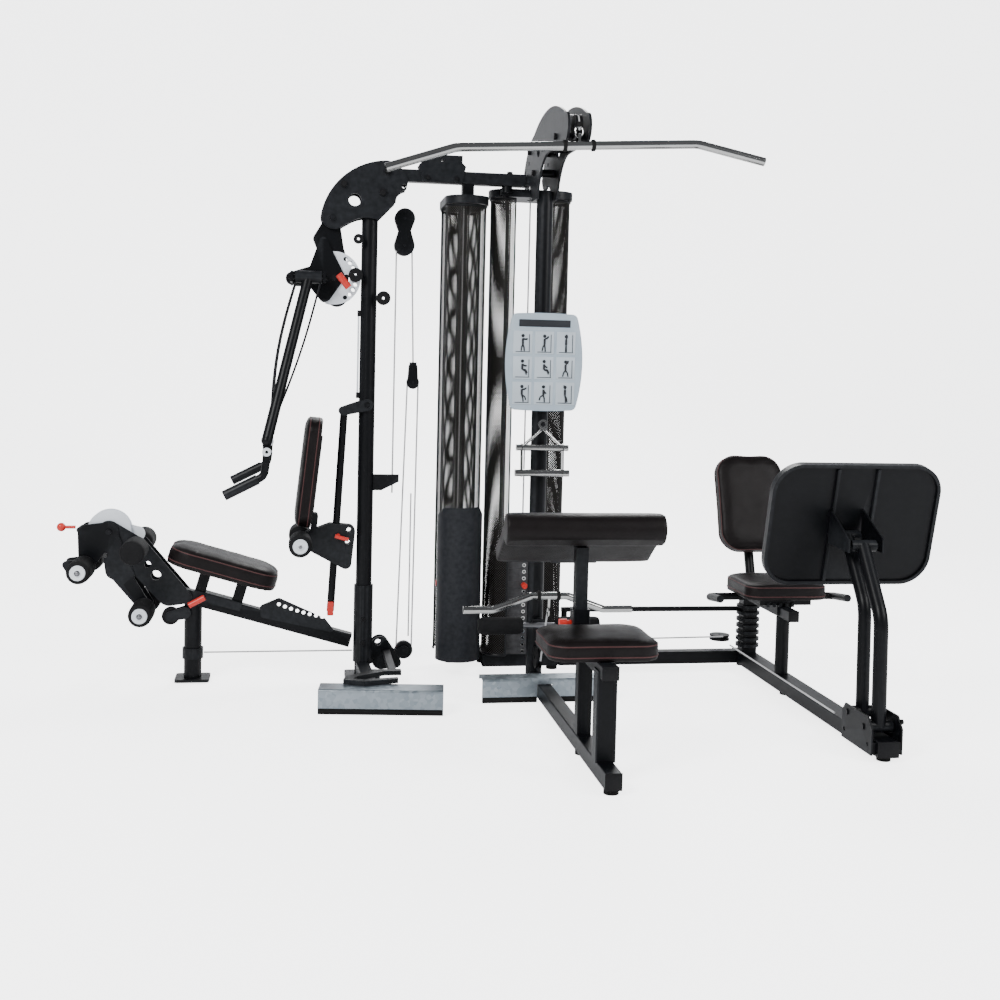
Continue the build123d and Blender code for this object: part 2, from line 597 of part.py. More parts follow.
with BuildPart() as back_support_bar:
    for plane in both_sides(TOWER_OD / 2 + 4, 6):
        add(hull_plate(plane, ((*BACK_PIVOT, 22), (bar_knee[0] - 4, bar_knee[1], 16)), 6,
                       ((*BACK_PIVOT, 11.4),)))
    add(tube((bar_knee[0], -35, bar_knee[1]), (bar_knee[0], 35, bar_knee[1]), 26))
    add(tube((bar_knee[0], 0, bar_knee[1]), (bar_foot[0], 0, bar_foot[1]), BAR_OD))
    for plane in both_sides(14.5, 6):
        add(hull_plate(plane, ((-62, 560, 26), (-70, 440, 22), (*LUMBAR, 20), (-130, 575, 16)), 6,
                       ((-60, 566, 9), (-64, 520, 9), (*LUMBAR, 10.3))))
    add(beam((-98, -16, 500), (-98, 16, 500), 60, 30, side=(0, 0, 1)))
save(back_support_bar.part, "back_support_bar")

pad_axis = Plane(origin=(LUMBAR[0], 0, LUMBAR[1])).rotated((0, PAD_LEAN, 0))


def at_pad(x, z):
    """Point in the leaning frame of the back pad, x away from it and z up along it."""
    return pad_axis.origin + pad_axis.x_dir * x + pad_axis.z_dir * z


with BuildPart() as back_pad_mount:          # steel spine on the pad's back, hinged on the lumbar axle
    spine = Plane(origin=at_pad(32, 230), x_dir=pad_axis.z_dir, z_dir=pad_axis.x_dir)
    with BuildSketch(spine):
        RectangleRounded(330, 60, 12)
    extrude(amount=5)
    for inner in (27, -22):
        knee, heel = at_pad(45, 30), at_pad(45, 95)
        add(hull_plate(side_plane(inner), ((*LUMBAR, 16), (knee.X, knee.Z, 11)), 5, ((*LUMBAR, 10.3),)))
        add(hull_plate(side_plane(inner), ((knee.X, knee.Z, 11), (heel.X, heel.Z, 11)), 5))
save(back_pad_mount.part, "back_pad_mount")

with BuildPart() as back_pad:
    add(cushion(Plane(origin=at_pad(31, 258), x_dir=pad_axis.z_dir, z_dir=-pad_axis.x_dir), 420, 262, 58, 60))
save(back_pad.part, "back_pad")

ROLLER_R = 42
with BuildPart() as lumbar_rollers:
    add(tube((LUMBAR[0], -205, LUMBAR[1]), (LUMBAR[0], 205, LUMBAR[1]), 20))
    for side in (-1, 1):
        add(roller((LUMBAR[0], side * 60, LUMBAR[1]), (LUMBAR[0], side * 195, LUMBAR[1]), ROLLER_R, 20))
save(lumbar_rollers.part, "lumbar_rollers")

with BuildPart() as back_tilt_lever:         # red lever beside the carriage
    add(tube((-100, -22, 545), (-100, -40, 545), 16))
    add(beam((-112, -44, 546), (-62, -44, 532), 12, 14, side=(0, 0, 1)))
save(back_tilt_lever.part, "back_tilt_lever")

clip = around(BACK_PIVOT, RACK_RADIUS - 30, 9)
with BuildPart() as back_rack_pin:           # red clip at the bar's lower end
    add(beam((clip[0] - 2, -16, clip[1] + 4), (clip[0] - 2, -23.5, clip[1] + 4), 24, 52, side=(0, 0, 1)))
save(back_rack_pin.part, "back_rack_pin")

# ---------------------------------------------------------------- bench rail, rack and leg post
LEG_POST_X, LEG_POST_OD = -628, 64
RACK_HOLES, RACK_PITCH_DEG, RACK_FIRST_DEG = 8, 1.7, 10.9
slope_dir = Vector(cos(radians(BENCH_SLOPE)), 0, -sin(radians(BENCH_SLOPE)))

with BuildPart() as bench_rail:
    add(beam(on_bench(-700), on_bench(-48), BEAM, BEAM, BEAM_WALL, side=(sin(radians(BENCH_SLOPE)), 0,
                                                                         cos(radians(BENCH_SLOPE)))))
    add(tube((LEG_POST_X, 0, FOOT), (LEG_POST_X, 0, on_bench(LEG_POST_X)[2] - 20), LEG_POST_OD, 3))
    add(tube((LEG_POST_X, 0, 85), (LEG_POST_X, 0, 125), LEG_POST_OD + 12, 6))
    with BuildSketch(Plane.XY.offset(4)):
        with Locations((LEG_POST_X, 0)):
            RectangleRounded(125, 110, 12)
    extrude(amount=FOOT - 4)
    rack = ((-372, 250, 12), (-372, 276, 12), (-315, 300, 12), (-150, 226, 10), (-120, 190, 8))
    rack_holes = [(*around(BACK_PIVOT, RACK_RADIUS, RACK_FIRST_DEG + step * RACK_PITCH_DEG), 7)
                  for step in range(RACK_HOLES)]
    add(hull_plate(side_plane(-25), rack, 6, rack_holes))
    for inner in (-12, -44):                 # cheeks of the wheel on the leg post
        add(hull_plate(side_plane(inner), ((-706, 250, 18), (-655, 262, 22)), 6))
    add(tube((-706, -50, 250), (-706, -12, 250), 10))
save(bench_rail.part, "bench_rail")

# ---------------------------------------------------------------- leg developer
BRACKET_Y = 30
KNEE = (-826, 506)
with BuildPart() as leg_developer_bracket:
    for plane in both_sides(BRACKET_Y, 6):
        add(hull_plate(plane, ((*LEVER_PIVOT, 40), (*KNEE, 34), (-712, 330, 44), (-655, 318, 24)), 6,
                       ((*LEVER_PIVOT, 10.2), (*KNEE, 10.2), (-760, 400, 18), (-790, 440, 12))))
    add(tube((-735, -BRACKET_Y, 420), (-735, BRACKET_Y, 420), 24))
save(leg_developer_bracket.part, "leg_developer_bracket")

LEVER_Y, CAM_R = 38, 78
ANKLE, SHIN = (-797, 284), (-1008, 438)
with BuildPart() as leg_lever:
    for plane in both_sides(LEVER_Y, 6):
        add(hull_plate(plane, ((*LEVER_PIVOT, 36), (-1010, 560, 26), (*SHIN, 24)), 6))
        add(hull_plate(plane, ((*LEVER_PIVOT, 30), (-870, 400, 34), (-905, 420, 34)), 6,
                       ((-939, 475, 9),)))
        add(hull_plate(plane, ((-880, 400, 34), (*ANKLE, 22)), 6, ((-873, 374, 8),)))
        add(hull_plate(plane, ((*SHIN, 24), (-1075, 440, 14), (-1062, 412, 10)), 6))
    add(tube((LEVER_PIVOT[0], -LEVER_Y - 14, LEVER_PIVOT[1]),
             (LEVER_PIVOT[0], LEVER_Y + 10, LEVER_PIVOT[1]), 20))
    for x, z in (ANKLE, SHIN):
        add(tube((x, -222, z), (x, 222, z), 20))
    add(tube((-1030, -LEVER_Y, 566), (-1030, LEVER_Y, 566), 22))
save(leg_lever.part, "leg_lever")

with BuildPart() as leg_cam:                 # two pale cam discs between the bracket plates
    for plane in both_sides(18, 6):
        with BuildSketch(plane):
            with Locations(LEVER_PIVOT):
                Circle(CAM_R)
                Circle(10.1, mode=Mode.SUBTRACT)
        extrude(amount=6)
save(leg_cam.part, "leg_cam")

with BuildPart() as leg_lever_rollers:
    for x, z in (ANKLE, SHIN):
        for side in (-1, 1):
            add(roller((x, side * 66, z), (x, side * 214, z), ROLLER_R))
save(leg_lever_rollers.part, "leg_lever_rollers")

with BuildPart() as leg_lever_pin:           # red ball on a spring pin
    add(tube((-1050, 0, 572), (-1092, 0, 572), 12))
    with BuildSketch(Plane.XZ):
        with Locations((-1100, 572)):
            Circle(16)
        with Locations((-1100, 572 + 50)):
            Rectangle(100, 100, mode=Mode.SUBTRACT)
    revolve(axis=Axis((-1100, 0, 572), (1, 0, 0)))
save(leg_lever_pin.part, "leg_lever_pin")

# ---------------------------------------------------------------- bench seat
SEAT_MID_X, SEAT_RISE = -515, 112            # pad's base above the rail's centre line
with BuildPart() as seat_carriage:
    mid = on_bench(SEAT_MID_X)
    along, up = slope_dir, Vector(sin(radians(BENCH_SLOPE)), 0, cos(radians(BENCH_SLOPE)))
    start, end = Vector(*mid) - along * 120, Vector(*mid) + along * 60
    add(beam(start, end, 66, 66, side=up))
    before, after = start - along * 5, end + along * 5
    add(beam(before, after, BEAM + 1.6, BEAM + 1.6, side=up, corner=3), mode=Mode.SUBTRACT)
    add(beam(before - up * 35, after - up * 35, 70, 70, side=up), mode=Mode.SUBTRACT)
    for shift in (-80, 60):
        foot = Vector(*mid) + along * (shift - 20) + up * 28
        add(beam(foot, foot + up * (SEAT_RISE - 30), 44, 40, side=along))
    base = Vector(*mid) + up * (SEAT_RISE - 5)
    add(beam(base - along * 130, base + along * 130, 120, 7, side=up, corner=3))
save(seat_carriage.part, "seat_carriage")

with BuildPart() as bench_seat_pad:
    base = Vector(*mid) + up * (SEAT_RISE - 1) - along * 45
    add(cushion(Plane(origin=base, x_dir=along, z_dir=up), 420, 265, 72, 88, 20))
save(bench_seat_pad.part, "bench_seat_pad")

with BuildPart() as bench_seat_knob:         # red T lever under the rail, on the near side
    knob = Vector(*mid) - along * 100
    add(tube((knob.X, -34, knob.Z), (knob.X, -56, knob.Z), 12))
    add(tube((knob.X - 28, -63, knob.Z - 15), (knob.X + 28, -63, knob.Z + 15), 22))
save(bench_seat_knob.part, "bench_seat_knob")

# ---------------------------------------------------------------- lat bar, curl bar and row handle
BAR_Y, BAR_Z, BAR_HALF, BAR_BEND, BAR_DROP = -730, 1908, 625, 398, 61
BAR_TILT = 3.5               # degrees, the hanging bar's +X end is the higher one
with BuildPart() as lat_bar:
    bar_path = ((LAT_X - BAR_HALF, BAR_Y, BAR_Z - BAR_DROP), (LAT_X - BAR_BEND, BAR_Y, BAR_Z),
                (LAT_X + BAR_BEND, BAR_Y, BAR_Z), (LAT_X + BAR_HALF, BAR_Y, BAR_Z - BAR_DROP))
    add(bent_tube(bar_path, 29, 120, 3))
    add(hull_plate(end_plane(LAT_X - 4), ((BAR_Y, BAR_Z + 8, 12), (BAR_Y, BAR_Z + 30, 10)), 8,
                   ((BAR_Y, BAR_Z + 30, 5),)))
    for shift in (-52, 42):
        add(tube((LAT_X + shift, BAR_Y, BAR_Z), (LAT_X + shift + 10, BAR_Y, BAR_Z), 33))
save(lat_bar.part.rotate(Axis((LAT_X, BAR_Y, BAR_Z), (0, 1, 0)), -BAR_TILT), "lat_bar")

CURL_Y, CURL_Z = -430, 389
with BuildPart() as curl_bar:
    low, high = CURL_Z - 48, CURL_Z
    curl_path = [(LAT_X + shift, CURL_Y, z) for shift, z in
                 ((-302, low), (-195, low), (-65, high), (65, high), (195, low), (302, low))]
    add(bent_tube(curl_path, 27, 40, 3))
    add(hull_plate(end_plane(LAT_X - 4), ((CURL_Y, CURL_Z - 8, 12), (CURL_Y, CURL_Z - 34, 11)), 8,
                   ((CURL_Y, CURL_Z - 34, 5),)))
    for side in (-1, 1):
        add(tube((LAT_X + side * 30, CURL_Y, CURL_Z), (LAT_X + side * 40, CURL_Y, CURL_Z), 31))
save(curl_bar.part, "curl_bar")

HANDLE_HOOK = (LAT_X, LAT_Y - 62, 985)
with BuildPart() as row_handle:              # two parallel grips joined by tapered end plates
    y = HANDLE_HOOK[1]
    for x in (LAT_X - 78, LAT_X + 74):
        add(hull_plate(end_plane(x), ((y, 900, 15), (y - 6, 808, 15)), 4))
    add(tube((LAT_X - 96, y, 900), (LAT_X + 96, y, 900), 24))
    add(tube((LAT_X - 100, y - 6, 808), (LAT_X + 100, y - 6, 808), 26))
    add(tube((LAT_X - 76, y, 900), (LAT_X - 7, y, 963), 11))
    add(tube((LAT_X + 76, y, 900), (LAT_X + 7, y, 963), 11))
    add(beam((LAT_X, y, 960), (LAT_X, y, 975), 16, 24, side=(1, 0, 0)))
    with BuildSketch(side_plane(y + 5)):     # eye over the hook
        with Locations((LAT_X, 985)):
            Circle(18)
            Circle(9, mode=Mode.SUBTRACT)
    extrude(amount=10)
save(row_handle.part, "row_handle")

# ---------------------------------------------------------------- placard with blank exercise tiles
PLACARD_Z = 1211
PLACARD_HALF_W, PLACARD_HALF_H = 118, 174    # to the corners; the edges bow out from there
PLACARD_BOW_W, PLACARD_BOW_H = 143, 178
with BuildPart() as exercise_placard:
    with BuildSketch(side_plane(LAT_Y - 52.2)):
        with BuildLine():
            for side in (-1, 1):
                edge_x, edge_z = LAT_X + side * PLACARD_HALF_W, PLACARD_Z + side * PLACARD_HALF_H
                ThreePointArc((edge_x, PLACARD_Z - PLACARD_HALF_H), (LAT_X + side * PLACARD_BOW_W, PLACARD_Z),
                              (edge_x, PLACARD_Z + PLACARD_HALF_H))
                ThreePointArc((LAT_X - PLACARD_HALF_W, edge_z), (LAT_X, PLACARD_Z + side * PLACARD_BOW_H),
                              (LAT_X + PLACARD_HALF_W, edge_z))
        make_face()
    extrude(amount=4)
    fillet(exercise_placard.edges().filter_by(Axis.Y), radius=22)
save(exercise_placard.part, "exercise_placard")

# ---------------------------------------------------------------- lat seat, curl pad and ankle rollers
SEAT_FRONT_Y, SEAT_BACK_Y, SEAT_BEAM_Z = -1255, -990, 330
with BuildPart() as lat_seat_frame:
    add(beam((LAT_X, LAT_PLATE_Y + 29, BEAM_Z), (LAT_X, -1375, BEAM_Z), BEAM, BEAM, BEAM_WALL))
    for y, width, height in ((SEAT_FRONT_Y, 60, 50), (SEAT_BACK_Y, 45, 45)):
        add(beam((LAT_X, y, BEAM_TOP - 1), (LAT_X, y, SEAT_BEAM_Z), width, height, BEAM_WALL, side=(0, 1, 0)))
    add(beam((LAT_X, -1310, SEAT_BEAM_Z), (LAT_X, -912, SEAT_BEAM_Z), 50, 40, BEAM_WALL))
    add(beam((LAT_X, -915, 300), (LAT_X, -915, 440), 54, 54, side=(0, 1, 0)))
    add(beam((LAT_X, -915, 295), (LAT_X, -915, 445), 41.6, 41.6, side=(0, 1, 0), corner=2),
        mode=Mode.SUBTRACT)
save(lat_seat_frame.part, "lat_seat_frame")

with BuildPart() as lat_seat_pad:
    add(cushion(Plane(origin=(LAT_X, -1130, SEAT_BEAM_Z + 21)), 345, 290, 56, 62))
save(lat_seat_pad.part, "lat_seat_pad")

CURL_PAD_Y, CURL_PAD_Z, CURL_PAD_HALF, CURL_SLOPE = -945, 697, 255, 35
with BuildPart() as curl_pad_post:
    slope = radians(CURL_SLOPE)
    add(beam((LAT_X, -915, 310), (LAT_X, -915, CURL_PAD_Z - 64), 40, 40, BEAM_WALL, side=(0, 1, 0)))
    slab_dir = Vector(0, cos(slope), -sin(slope))
    plate_start = Vector(LAT_X, -919, CURL_PAD_Z - 49)
    add(beam(plate_start, plate_start + slab_dir * 140, 150, 6, side=(0, sin(slope), cos(slope)), corner=2))
save(curl_pad_post.part, "curl_pad_post")

with BuildPart() as curl_pads:
    with BuildSketch(end_plane(LAT_X - CURL_PAD_HALF)):      # roll and sloping slab in one section
        with Locations((CURL_PAD_Y - 10, CURL_PAD_Z)):
            Circle(50)
        with Locations((CURL_PAD_Y + 80, CURL_PAD_Z - 50)):
            Rectangle(210, 52, rotation=-CURL_SLOPE)
    extrude(amount=2 * CURL_PAD_HALF)
save(curl_pads.part, "curl_pads")

with BuildPart() as curl_post_pin:           # red pull pin on the post's socket
    add(tube((LAT_X - 28, -915, 395), (LAT_X - 42, -915, 395), 16))
    add(tube((LAT_X - 42, -915, 395), (LAT_X - 66, -915, 395), 24))
save(curl_post_pin.part, "curl_post_pin")

with BuildPart() as fixed_rollers:           # knee rollers of the bench and ankle rollers of the lat tower
    add(tube((KNEE[0], -218, KNEE[1]), (KNEE[0], 218, KNEE[1]), 20))
    for side in (-1, 1):
        add(roller((KNEE[0], side * 66, KNEE[1]), (KNEE[0], side * 210, KNEE[1]), ROLLER_R + 2, 20))
    add(tube((LAT_X - 228, LAT_Y - 80, 250), (LAT_X + 228, LAT_Y - 80, 250), 20))
    for side in (-1, 1):
        add(roller((LAT_X + side * 62, LAT_Y - 80, 250), (LAT_X + side * 224, LAT_Y - 80, 250), 31, 20))
save(fixed_rollers.part, "fixed_rollers")

# ---------------------------------------------------------------- leg press
LEG_RAIL_FRONT, LEG_RAIL_BACK = -1160, 135
SEAT_RAIL_Z = 300
with BuildPart() as leg_press_frame:
    add(beam((LAT_X + 155, STACK_Y, BEAM_Z), (LEG_X - 34, STACK_Y, BEAM_Z), BEAM, BEAM, BEAM_WALL))
    add(tube((LAT_X + 176, STACK_Y, BEAM_TOP - 5), (LAT_X + 176, STACK_Y, 240), 24))
    add(tube((LAT_X + 164, STACK_Y, 235), (LEG_X - 20, STACK_Y - 10, 235), 20))
    add(beam((LEG_X, LEG_RAIL_BACK, BEAM_Z), (LEG_X, LEG_RAIL_FRONT, BEAM_Z), 70, BEAM, BEAM_WALL))
    add(beam((LEG_X, 60, BEAM_TOP - 1), (LEG_X, 60, SEAT_RAIL_Z), 60, 60, BEAM_WALL, side=(0, 1, 0)))
    for level in range(7):
        add(tube((LEG_X, 60, 90 + level * 26), (LEG_X, 60, 102 + level * 26), 92))
    add(tube((LEG_X, -300, BEAM_TOP - 1), (LEG_X, -300, SEAT_RAIL_Z - 20), 50, 3))
    add(beam((LEG_X - 50, -1135, 42), (LEG_X + 50, -1135, 42), 30, 36))
    add(beam((LEG_X - 50, -950, 38), (LEG_X + 50, -950, 38), 18, 30))
    add(beam((LEG_X, 120, SEAT_RAIL_Z), (LEG_X, -400, SEAT_RAIL_Z), 40, 40, BEAM_WALL))
    for inner in (-52, 46):                  # cheeks around both lower axles
        with BuildSketch(end_plane(LEG_X + inner)):
            with BuildLine():
                Polyline((-1150, 20), (-940, 20), (-940, 110), (-960, 135), (-1120, 135), (-1150, 100),
                         close=True)
            make_face()
            with Locations((-1125, 50), (-960, 50)):
                Circle(7, mode=Mode.SUBTRACT)
        extrude(amount=6)
    for y, z in (LEG_ARM_BASE, (LEG_ARM_BASE[0] + LEG_LINK_STEP[0], LEG_ARM_BASE[1] + LEG_LINK_STEP[1])):
        add(tube((LEG_X - 56, y, z), (LEG_X + 56, y, z), 20))
save(leg_press_frame.part, "leg_press_frame")


def leg_arm(base, top, outer, knee_back):
    """Bent tube between two cross sleeves, bowed away from the user."""
    knee = (LEG_X, base[0] + 0.12 * (top[0] - base[0]) - knee_back, base[1] + 0.62 * (top[1] - base[1]))
    with BuildPart() as arm:
        add(bent_tube(((LEG_X, base[0], base[1]), knee, (LEG_X, top[0], top[1])), outer, 120))
        for y, z in (base, top):
            add(tube((LEG_X - 42, y, z), (LEG_X + 42, y, z), 38))
        for y, z in (base, top):
            add(tube((LEG_X - 50, y, z), (LEG_X + 50, y, z), 20.6), mode=Mode.SUBTRACT)
    return arm.part


with BuildPart() as leg_press_arms:
    add(leg_arm(LEG_ARM_BASE, LEG_ARM_TOP, 45, 10))
save(leg_press_arms.part, "leg_press_arms")

link_base = (LEG_ARM_BASE[0] + LEG_LINK_STEP[0], LEG_ARM_BASE[1] + LEG_LINK_STEP[1])
link_top = (LEG_ARM_TOP[0] + LEG_LINK_STEP[0], LEG_ARM_TOP[1] + LEG_LINK_STEP[1])
with BuildPart() as leg_press_link:
    add(leg_arm(link_base, link_top, 42, 10))
save(leg_press_link.part, "leg_press_link")

PLATE_LEAN = 14              # degrees, the footplate's top leans towards the front
FOOTPLATE_MID = (-870, 690)
with BuildPart() as leg_press_footplate:
    lean = radians(PLATE_LEAN)
    face = Plane(origin=(LEG_X + 25, FOOTPLATE_MID[0] + 74, FOOTPLATE_MID[1]), x_dir=(1, 0, 0),
                 z_dir=(0, -cos(lean), -sin(lean)))
    with BuildSketch(face):
        RectangleRounded(590, 425, 100)
    extrude(amount=-18)
    with BuildSketch(face):                  # raised rim on the side away from the user
        RectangleRounded(590, 425, 100)
        RectangleRounded(566, 401, 88, mode=Mode.SUBTRACT)
    extrude(amount=9)
    with BuildSketch(face):                  # two stiffening ribs
        with Locations((-75, 0), (65, 0)):
            Rectangle(10, 395)
    extrude(amount=12)
    for inner in (-60, 54):                  # cheeks that hold both upper axles
        with BuildSketch(end_plane(LEG_X + inner)):
            with BuildLine():
                Polyline((LEG_ARM_TOP[0] - 26, LEG_ARM_TOP[1] - 20), (LEG_ARM_TOP[0] - 26, LEG_ARM_TOP[1] + 24),
                         (FOOTPLATE_MID[0] + 62, FOOTPLATE_MID[1] + 55), (link_top[0] + 14, link_top[1] - 26),
                         close=True)
            make_face()
        extrude(amount=6)
    for y, z in (LEG_ARM_TOP, link_top):
        add(tube((LEG_X - 60, y, z), (LEG_X + 60, y, z), 20))
save(leg_press_footplate.part, "leg_press_footplate")

LEG_SEAT_Y, LEG_SEAT_Z, REST_LEAN = -200, 350, 18
rest = Plane(origin=(LEG_X, 104, 655), x_dir=(0, sin(radians(REST_LEAN)), cos(radians(REST_LEAN))),
             z_dir=(0, -cos(radians(REST_LEAN)), sin(radians(REST_LEAN))))
with BuildPart() as leg_press_seat_carriage:
    add(beam((LEG_X, LEG_SEAT_Y - 110, SEAT_RAIL_Z), (LEG_X, LEG_SEAT_Y + 130, SEAT_RAIL_Z), 56, 56))
    add(beam((LEG_X, LEG_SEAT_Y - 115, SEAT_RAIL_Z), (LEG_X, LEG_SEAT_Y + 135, SEAT_RAIL_Z), 41.6, 41.6,
             corner=3), mode=Mode.SUBTRACT)
    with BuildSketch(Plane.XY.offset(SEAT_RAIL_Z + 27)):
        with Locations((LEG_X, LEG_SEAT_Y + 10)):
            Rectangle(200, 260)
    extrude(amount=22)
    with BuildSketch(Plane.XY.offset(SEAT_RAIL_Z - 30)):     # the sleeve is open below
        with Locations((LEG_X, LEG_SEAT_Y)):
            Rectangle(80, 300)
    extrude(amount=16, mode=Mode.SUBTRACT)
    for tooth in range(5):                   # adjuster teeth under the near edge
        place = (LEG_X - 70 + 24 * tooth, LEG_SEAT_Y - 122)
        add(beam((*place, SEAT_RAIL_Z + 36), (*place, SEAT_RAIL_Z + 21), 12, 12, side=(1, 0, 0), corner=2))
    for side in (-1, 1):                     # side handles
        add(bent_tube(((LEG_X + side * 90, LEG_SEAT_Y + 30, 334), (LEG_X + side * 250, LEG_SEAT_Y + 30, 334),
                       (LEG_X + side * 250, LEG_SEAT_Y - 110, 350)), 28, 30))
    add(bent_tube(((LEG_X, LEG_SEAT_Y + 137, 341), (LEG_X, 34, 343), (LEG_X, 190, 790)), 38, 60))
    with BuildSketch(rest.offset(-1)):       # plate and stand-offs behind the backrest
        RectangleRounded(300, 110, 10)
    extrude(amount=-5)
    for along_rest in (-90, 90):
        foot = rest.origin + rest.x_dir * along_rest - rest.z_dir * 4
        add(tube(foot, foot - rest.z_dir * 40, 26))
save(leg_press_seat_carriage.part, "leg_press_seat_carriage")

with BuildPart() as leg_press_pads:
    add(cushion(Plane(origin=(LEG_X, LEG_SEAT_Y - 16, LEG_SEAT_Z)), 330, 300, 60, 60))
    add(cushion(rest, 405, 285, 60, 85))
save(leg_press_pads.part, "leg_press_pads")

# ---------------------------------------------------------------- feet
with BuildPart() as rubber_feet:
    with BuildSketch(Plane.XY):
        with Locations((PRESS_STACK_X, 235), (LAT_X - 130, 225), (LAT_X, 235), (LAT_X + 130, STACK_Y),
                       (15, PRESS_PLATE_Y + 60), (LAT_X, -1350), (LAT_X, -990), (LEG_X, 110), (LEG_X, -350),
                       (LEG_X, -1130)):
            Circle(22)
    extrude(amount=FOOT)
    with BuildSketch(Plane.XY):
        with Locations((LEG_POST_X - 40, 0), (LEG_POST_X + 40, 0)):
            Circle(16)
    extrude(amount=4)
save(rubber_feet.part, "rubber_feet")

# ---------------------------------------------------------------- bolts: one group of separate heads and nuts
BOLT_HEAD = 17


def bolt(point, direction, size=BOLT_HEAD, height=9):
    """Hexagon head that stands on a surface."""
    with BuildPart() as head:
        with BuildSketch(Plane(origin=point, z_dir=direction)):
            RegularPolygon(size / 2, 6)
        extrude(amount=height)
        top = head.faces().sort_by(Axis(Vector(*point), Vector(*direction)))[-1]
        chamfer(top.edges(), length=1.6)
    return head.part


with BuildPart() as fasteners:
    for x, z in ((44, 1824), (60, 1905), (-100, 1850)):
        add(bolt((x, -HEAD_IN - HEAD_THICK, z), (0, -1, 0), 26, 12))
        add(bolt((x, HEAD_IN + HEAD_THICK, z), (0, 1, 0), 26, 12))
    for x, z in ((210, 1888), (320, 1888)):
        add(bolt((x, -29, z), (0, -1, 0)))
    for x, z in ((30, 70), (92, 60)):
        add(bolt((x, -32, z), (0, -1, 0)))
    for y, z in ((-330, 1965), (-180, 1900), (-560, 1965), (-90, 1990)):
        for side in (-1, 1):
            add(bolt((LAT_X + side * (HEAD_IN + HEAD_THICK), y, z), (side, 0, 0), 22, 10))
    for z in (140, 230):
        add(bolt((0, -SLEEVE_OD / 2 - 0.05, z), (0, -1, 0)))
    for y in (-1130, -1020):
        add(bolt((LEG_X + 52, y, 118), (1, 0, 0)))
    add(bolt((LAT_X - 100, 0, TOP_BEAM_Z + TOP_BEAM_H / 2), (0, 0, 1), 22, 10))
save(fasteners.part, "fasteners")

# ---------------------------------------------------------------- cables that stay still
CABLE = 6
with BuildPart() as cables:
    add(tube((-588, 0, 105), (-39, 0, 105), CABLE))
    add(tube((176, 34, 150), (176, 34, 700), CABLE))
    add(tube((LAT_X + 170, STACK_Y - 40, 120), (LEG_X - 90, STACK_Y - 8, 120), CABLE))
    add(tube((LEG_X - 60, 90, 85), (LEG_X - 60, -900, 85), CABLE))
save(cables.part, "cables")
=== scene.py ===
"""Looks of the multi station home gym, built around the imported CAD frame. Metres, +Z up."""
import json
import math

import bmesh
import bpy
from mathutils import Matrix, Vector

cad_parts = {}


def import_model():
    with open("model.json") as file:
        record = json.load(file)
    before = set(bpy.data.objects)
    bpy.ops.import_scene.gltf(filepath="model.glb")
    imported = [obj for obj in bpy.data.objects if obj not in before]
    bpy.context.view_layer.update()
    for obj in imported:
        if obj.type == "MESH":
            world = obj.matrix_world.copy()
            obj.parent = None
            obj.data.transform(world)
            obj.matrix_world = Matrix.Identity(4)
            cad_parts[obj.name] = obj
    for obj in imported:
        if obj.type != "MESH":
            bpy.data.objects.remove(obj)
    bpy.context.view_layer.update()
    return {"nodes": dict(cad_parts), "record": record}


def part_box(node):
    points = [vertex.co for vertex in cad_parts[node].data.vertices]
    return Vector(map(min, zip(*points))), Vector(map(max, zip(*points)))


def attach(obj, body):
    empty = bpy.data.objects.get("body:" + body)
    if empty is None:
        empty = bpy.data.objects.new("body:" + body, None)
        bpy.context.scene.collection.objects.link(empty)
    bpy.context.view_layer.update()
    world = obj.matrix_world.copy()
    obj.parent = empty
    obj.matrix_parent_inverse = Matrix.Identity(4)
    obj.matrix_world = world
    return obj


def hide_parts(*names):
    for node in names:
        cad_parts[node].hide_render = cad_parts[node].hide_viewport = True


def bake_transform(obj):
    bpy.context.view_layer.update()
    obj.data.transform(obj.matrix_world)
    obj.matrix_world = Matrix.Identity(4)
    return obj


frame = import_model()
NODES = frame["nodes"]


# ------------------------------------------------------------------ places taken from the frame
def middle(node):
    """Centre of a CAD node's box at rest."""
    low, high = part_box(node)
    return (low + high) / 2


# ------------------------------------------------------------------ material building blocks
def node_material(name, color, roughness, metallic=0.0):
    """Material with a Principled shader; returns it with the tools to add nodes."""
    material = bpy.data.materials.new(name)
    material.use_nodes = True
    tree = material.node_tree
    shader = tree.nodes["Principled BSDF"]
    shader.inputs["Base Color"].default_value = (*color, 1)
    shader.inputs["Roughness"].default_value = roughness
    shader.inputs["Metallic"].default_value = metallic
    return material, tree, shader


def object_coords(tree, scale=(1, 1, 1)):
    """Object coordinates, stretched by scale."""
    coords = tree.nodes.new("ShaderNodeTexCoord")
    mapping = tree.nodes.new("ShaderNodeMapping")
    mapping.inputs["Scale"].default_value = scale
    tree.links.new(coords.outputs["Object"], mapping.inputs["Vector"])
    return mapping.outputs["Vector"]


def noise(tree, vector, scale, detail=3.0):
    """Noise value."""
    texture = tree.nodes.new("ShaderNodeTexNoise")
    texture.inputs["Scale"].default_value = scale
    texture.inputs["Detail"].default_value = detail
    tree.links.new(vector, texture.inputs["Vector"])
    return texture.outputs["Fac"]


def ramp(tree, value, low, high, dark, light):
    """Colour that runs from dark to light as value goes from low to high."""
    node = tree.nodes.new("ShaderNodeValToRGB")
    first, last = node.color_ramp.elements
    first.position, last.position = low, high
    first.color, last.color = (*dark, 1), (*light, 1)
    tree.links.new(value, node.inputs["Fac"])
    return node.outputs["Color"]


def remap(tree, value, low, high):
    """Value stretched from 0..1 to low..high."""
    node = tree.nodes.new("ShaderNodeMapRange")
    node.inputs["To Min"].default_value = low
    node.inputs["To Max"].default_value = high
    tree.links.new(value, node.inputs["Value"])
    return node.outputs["Result"]


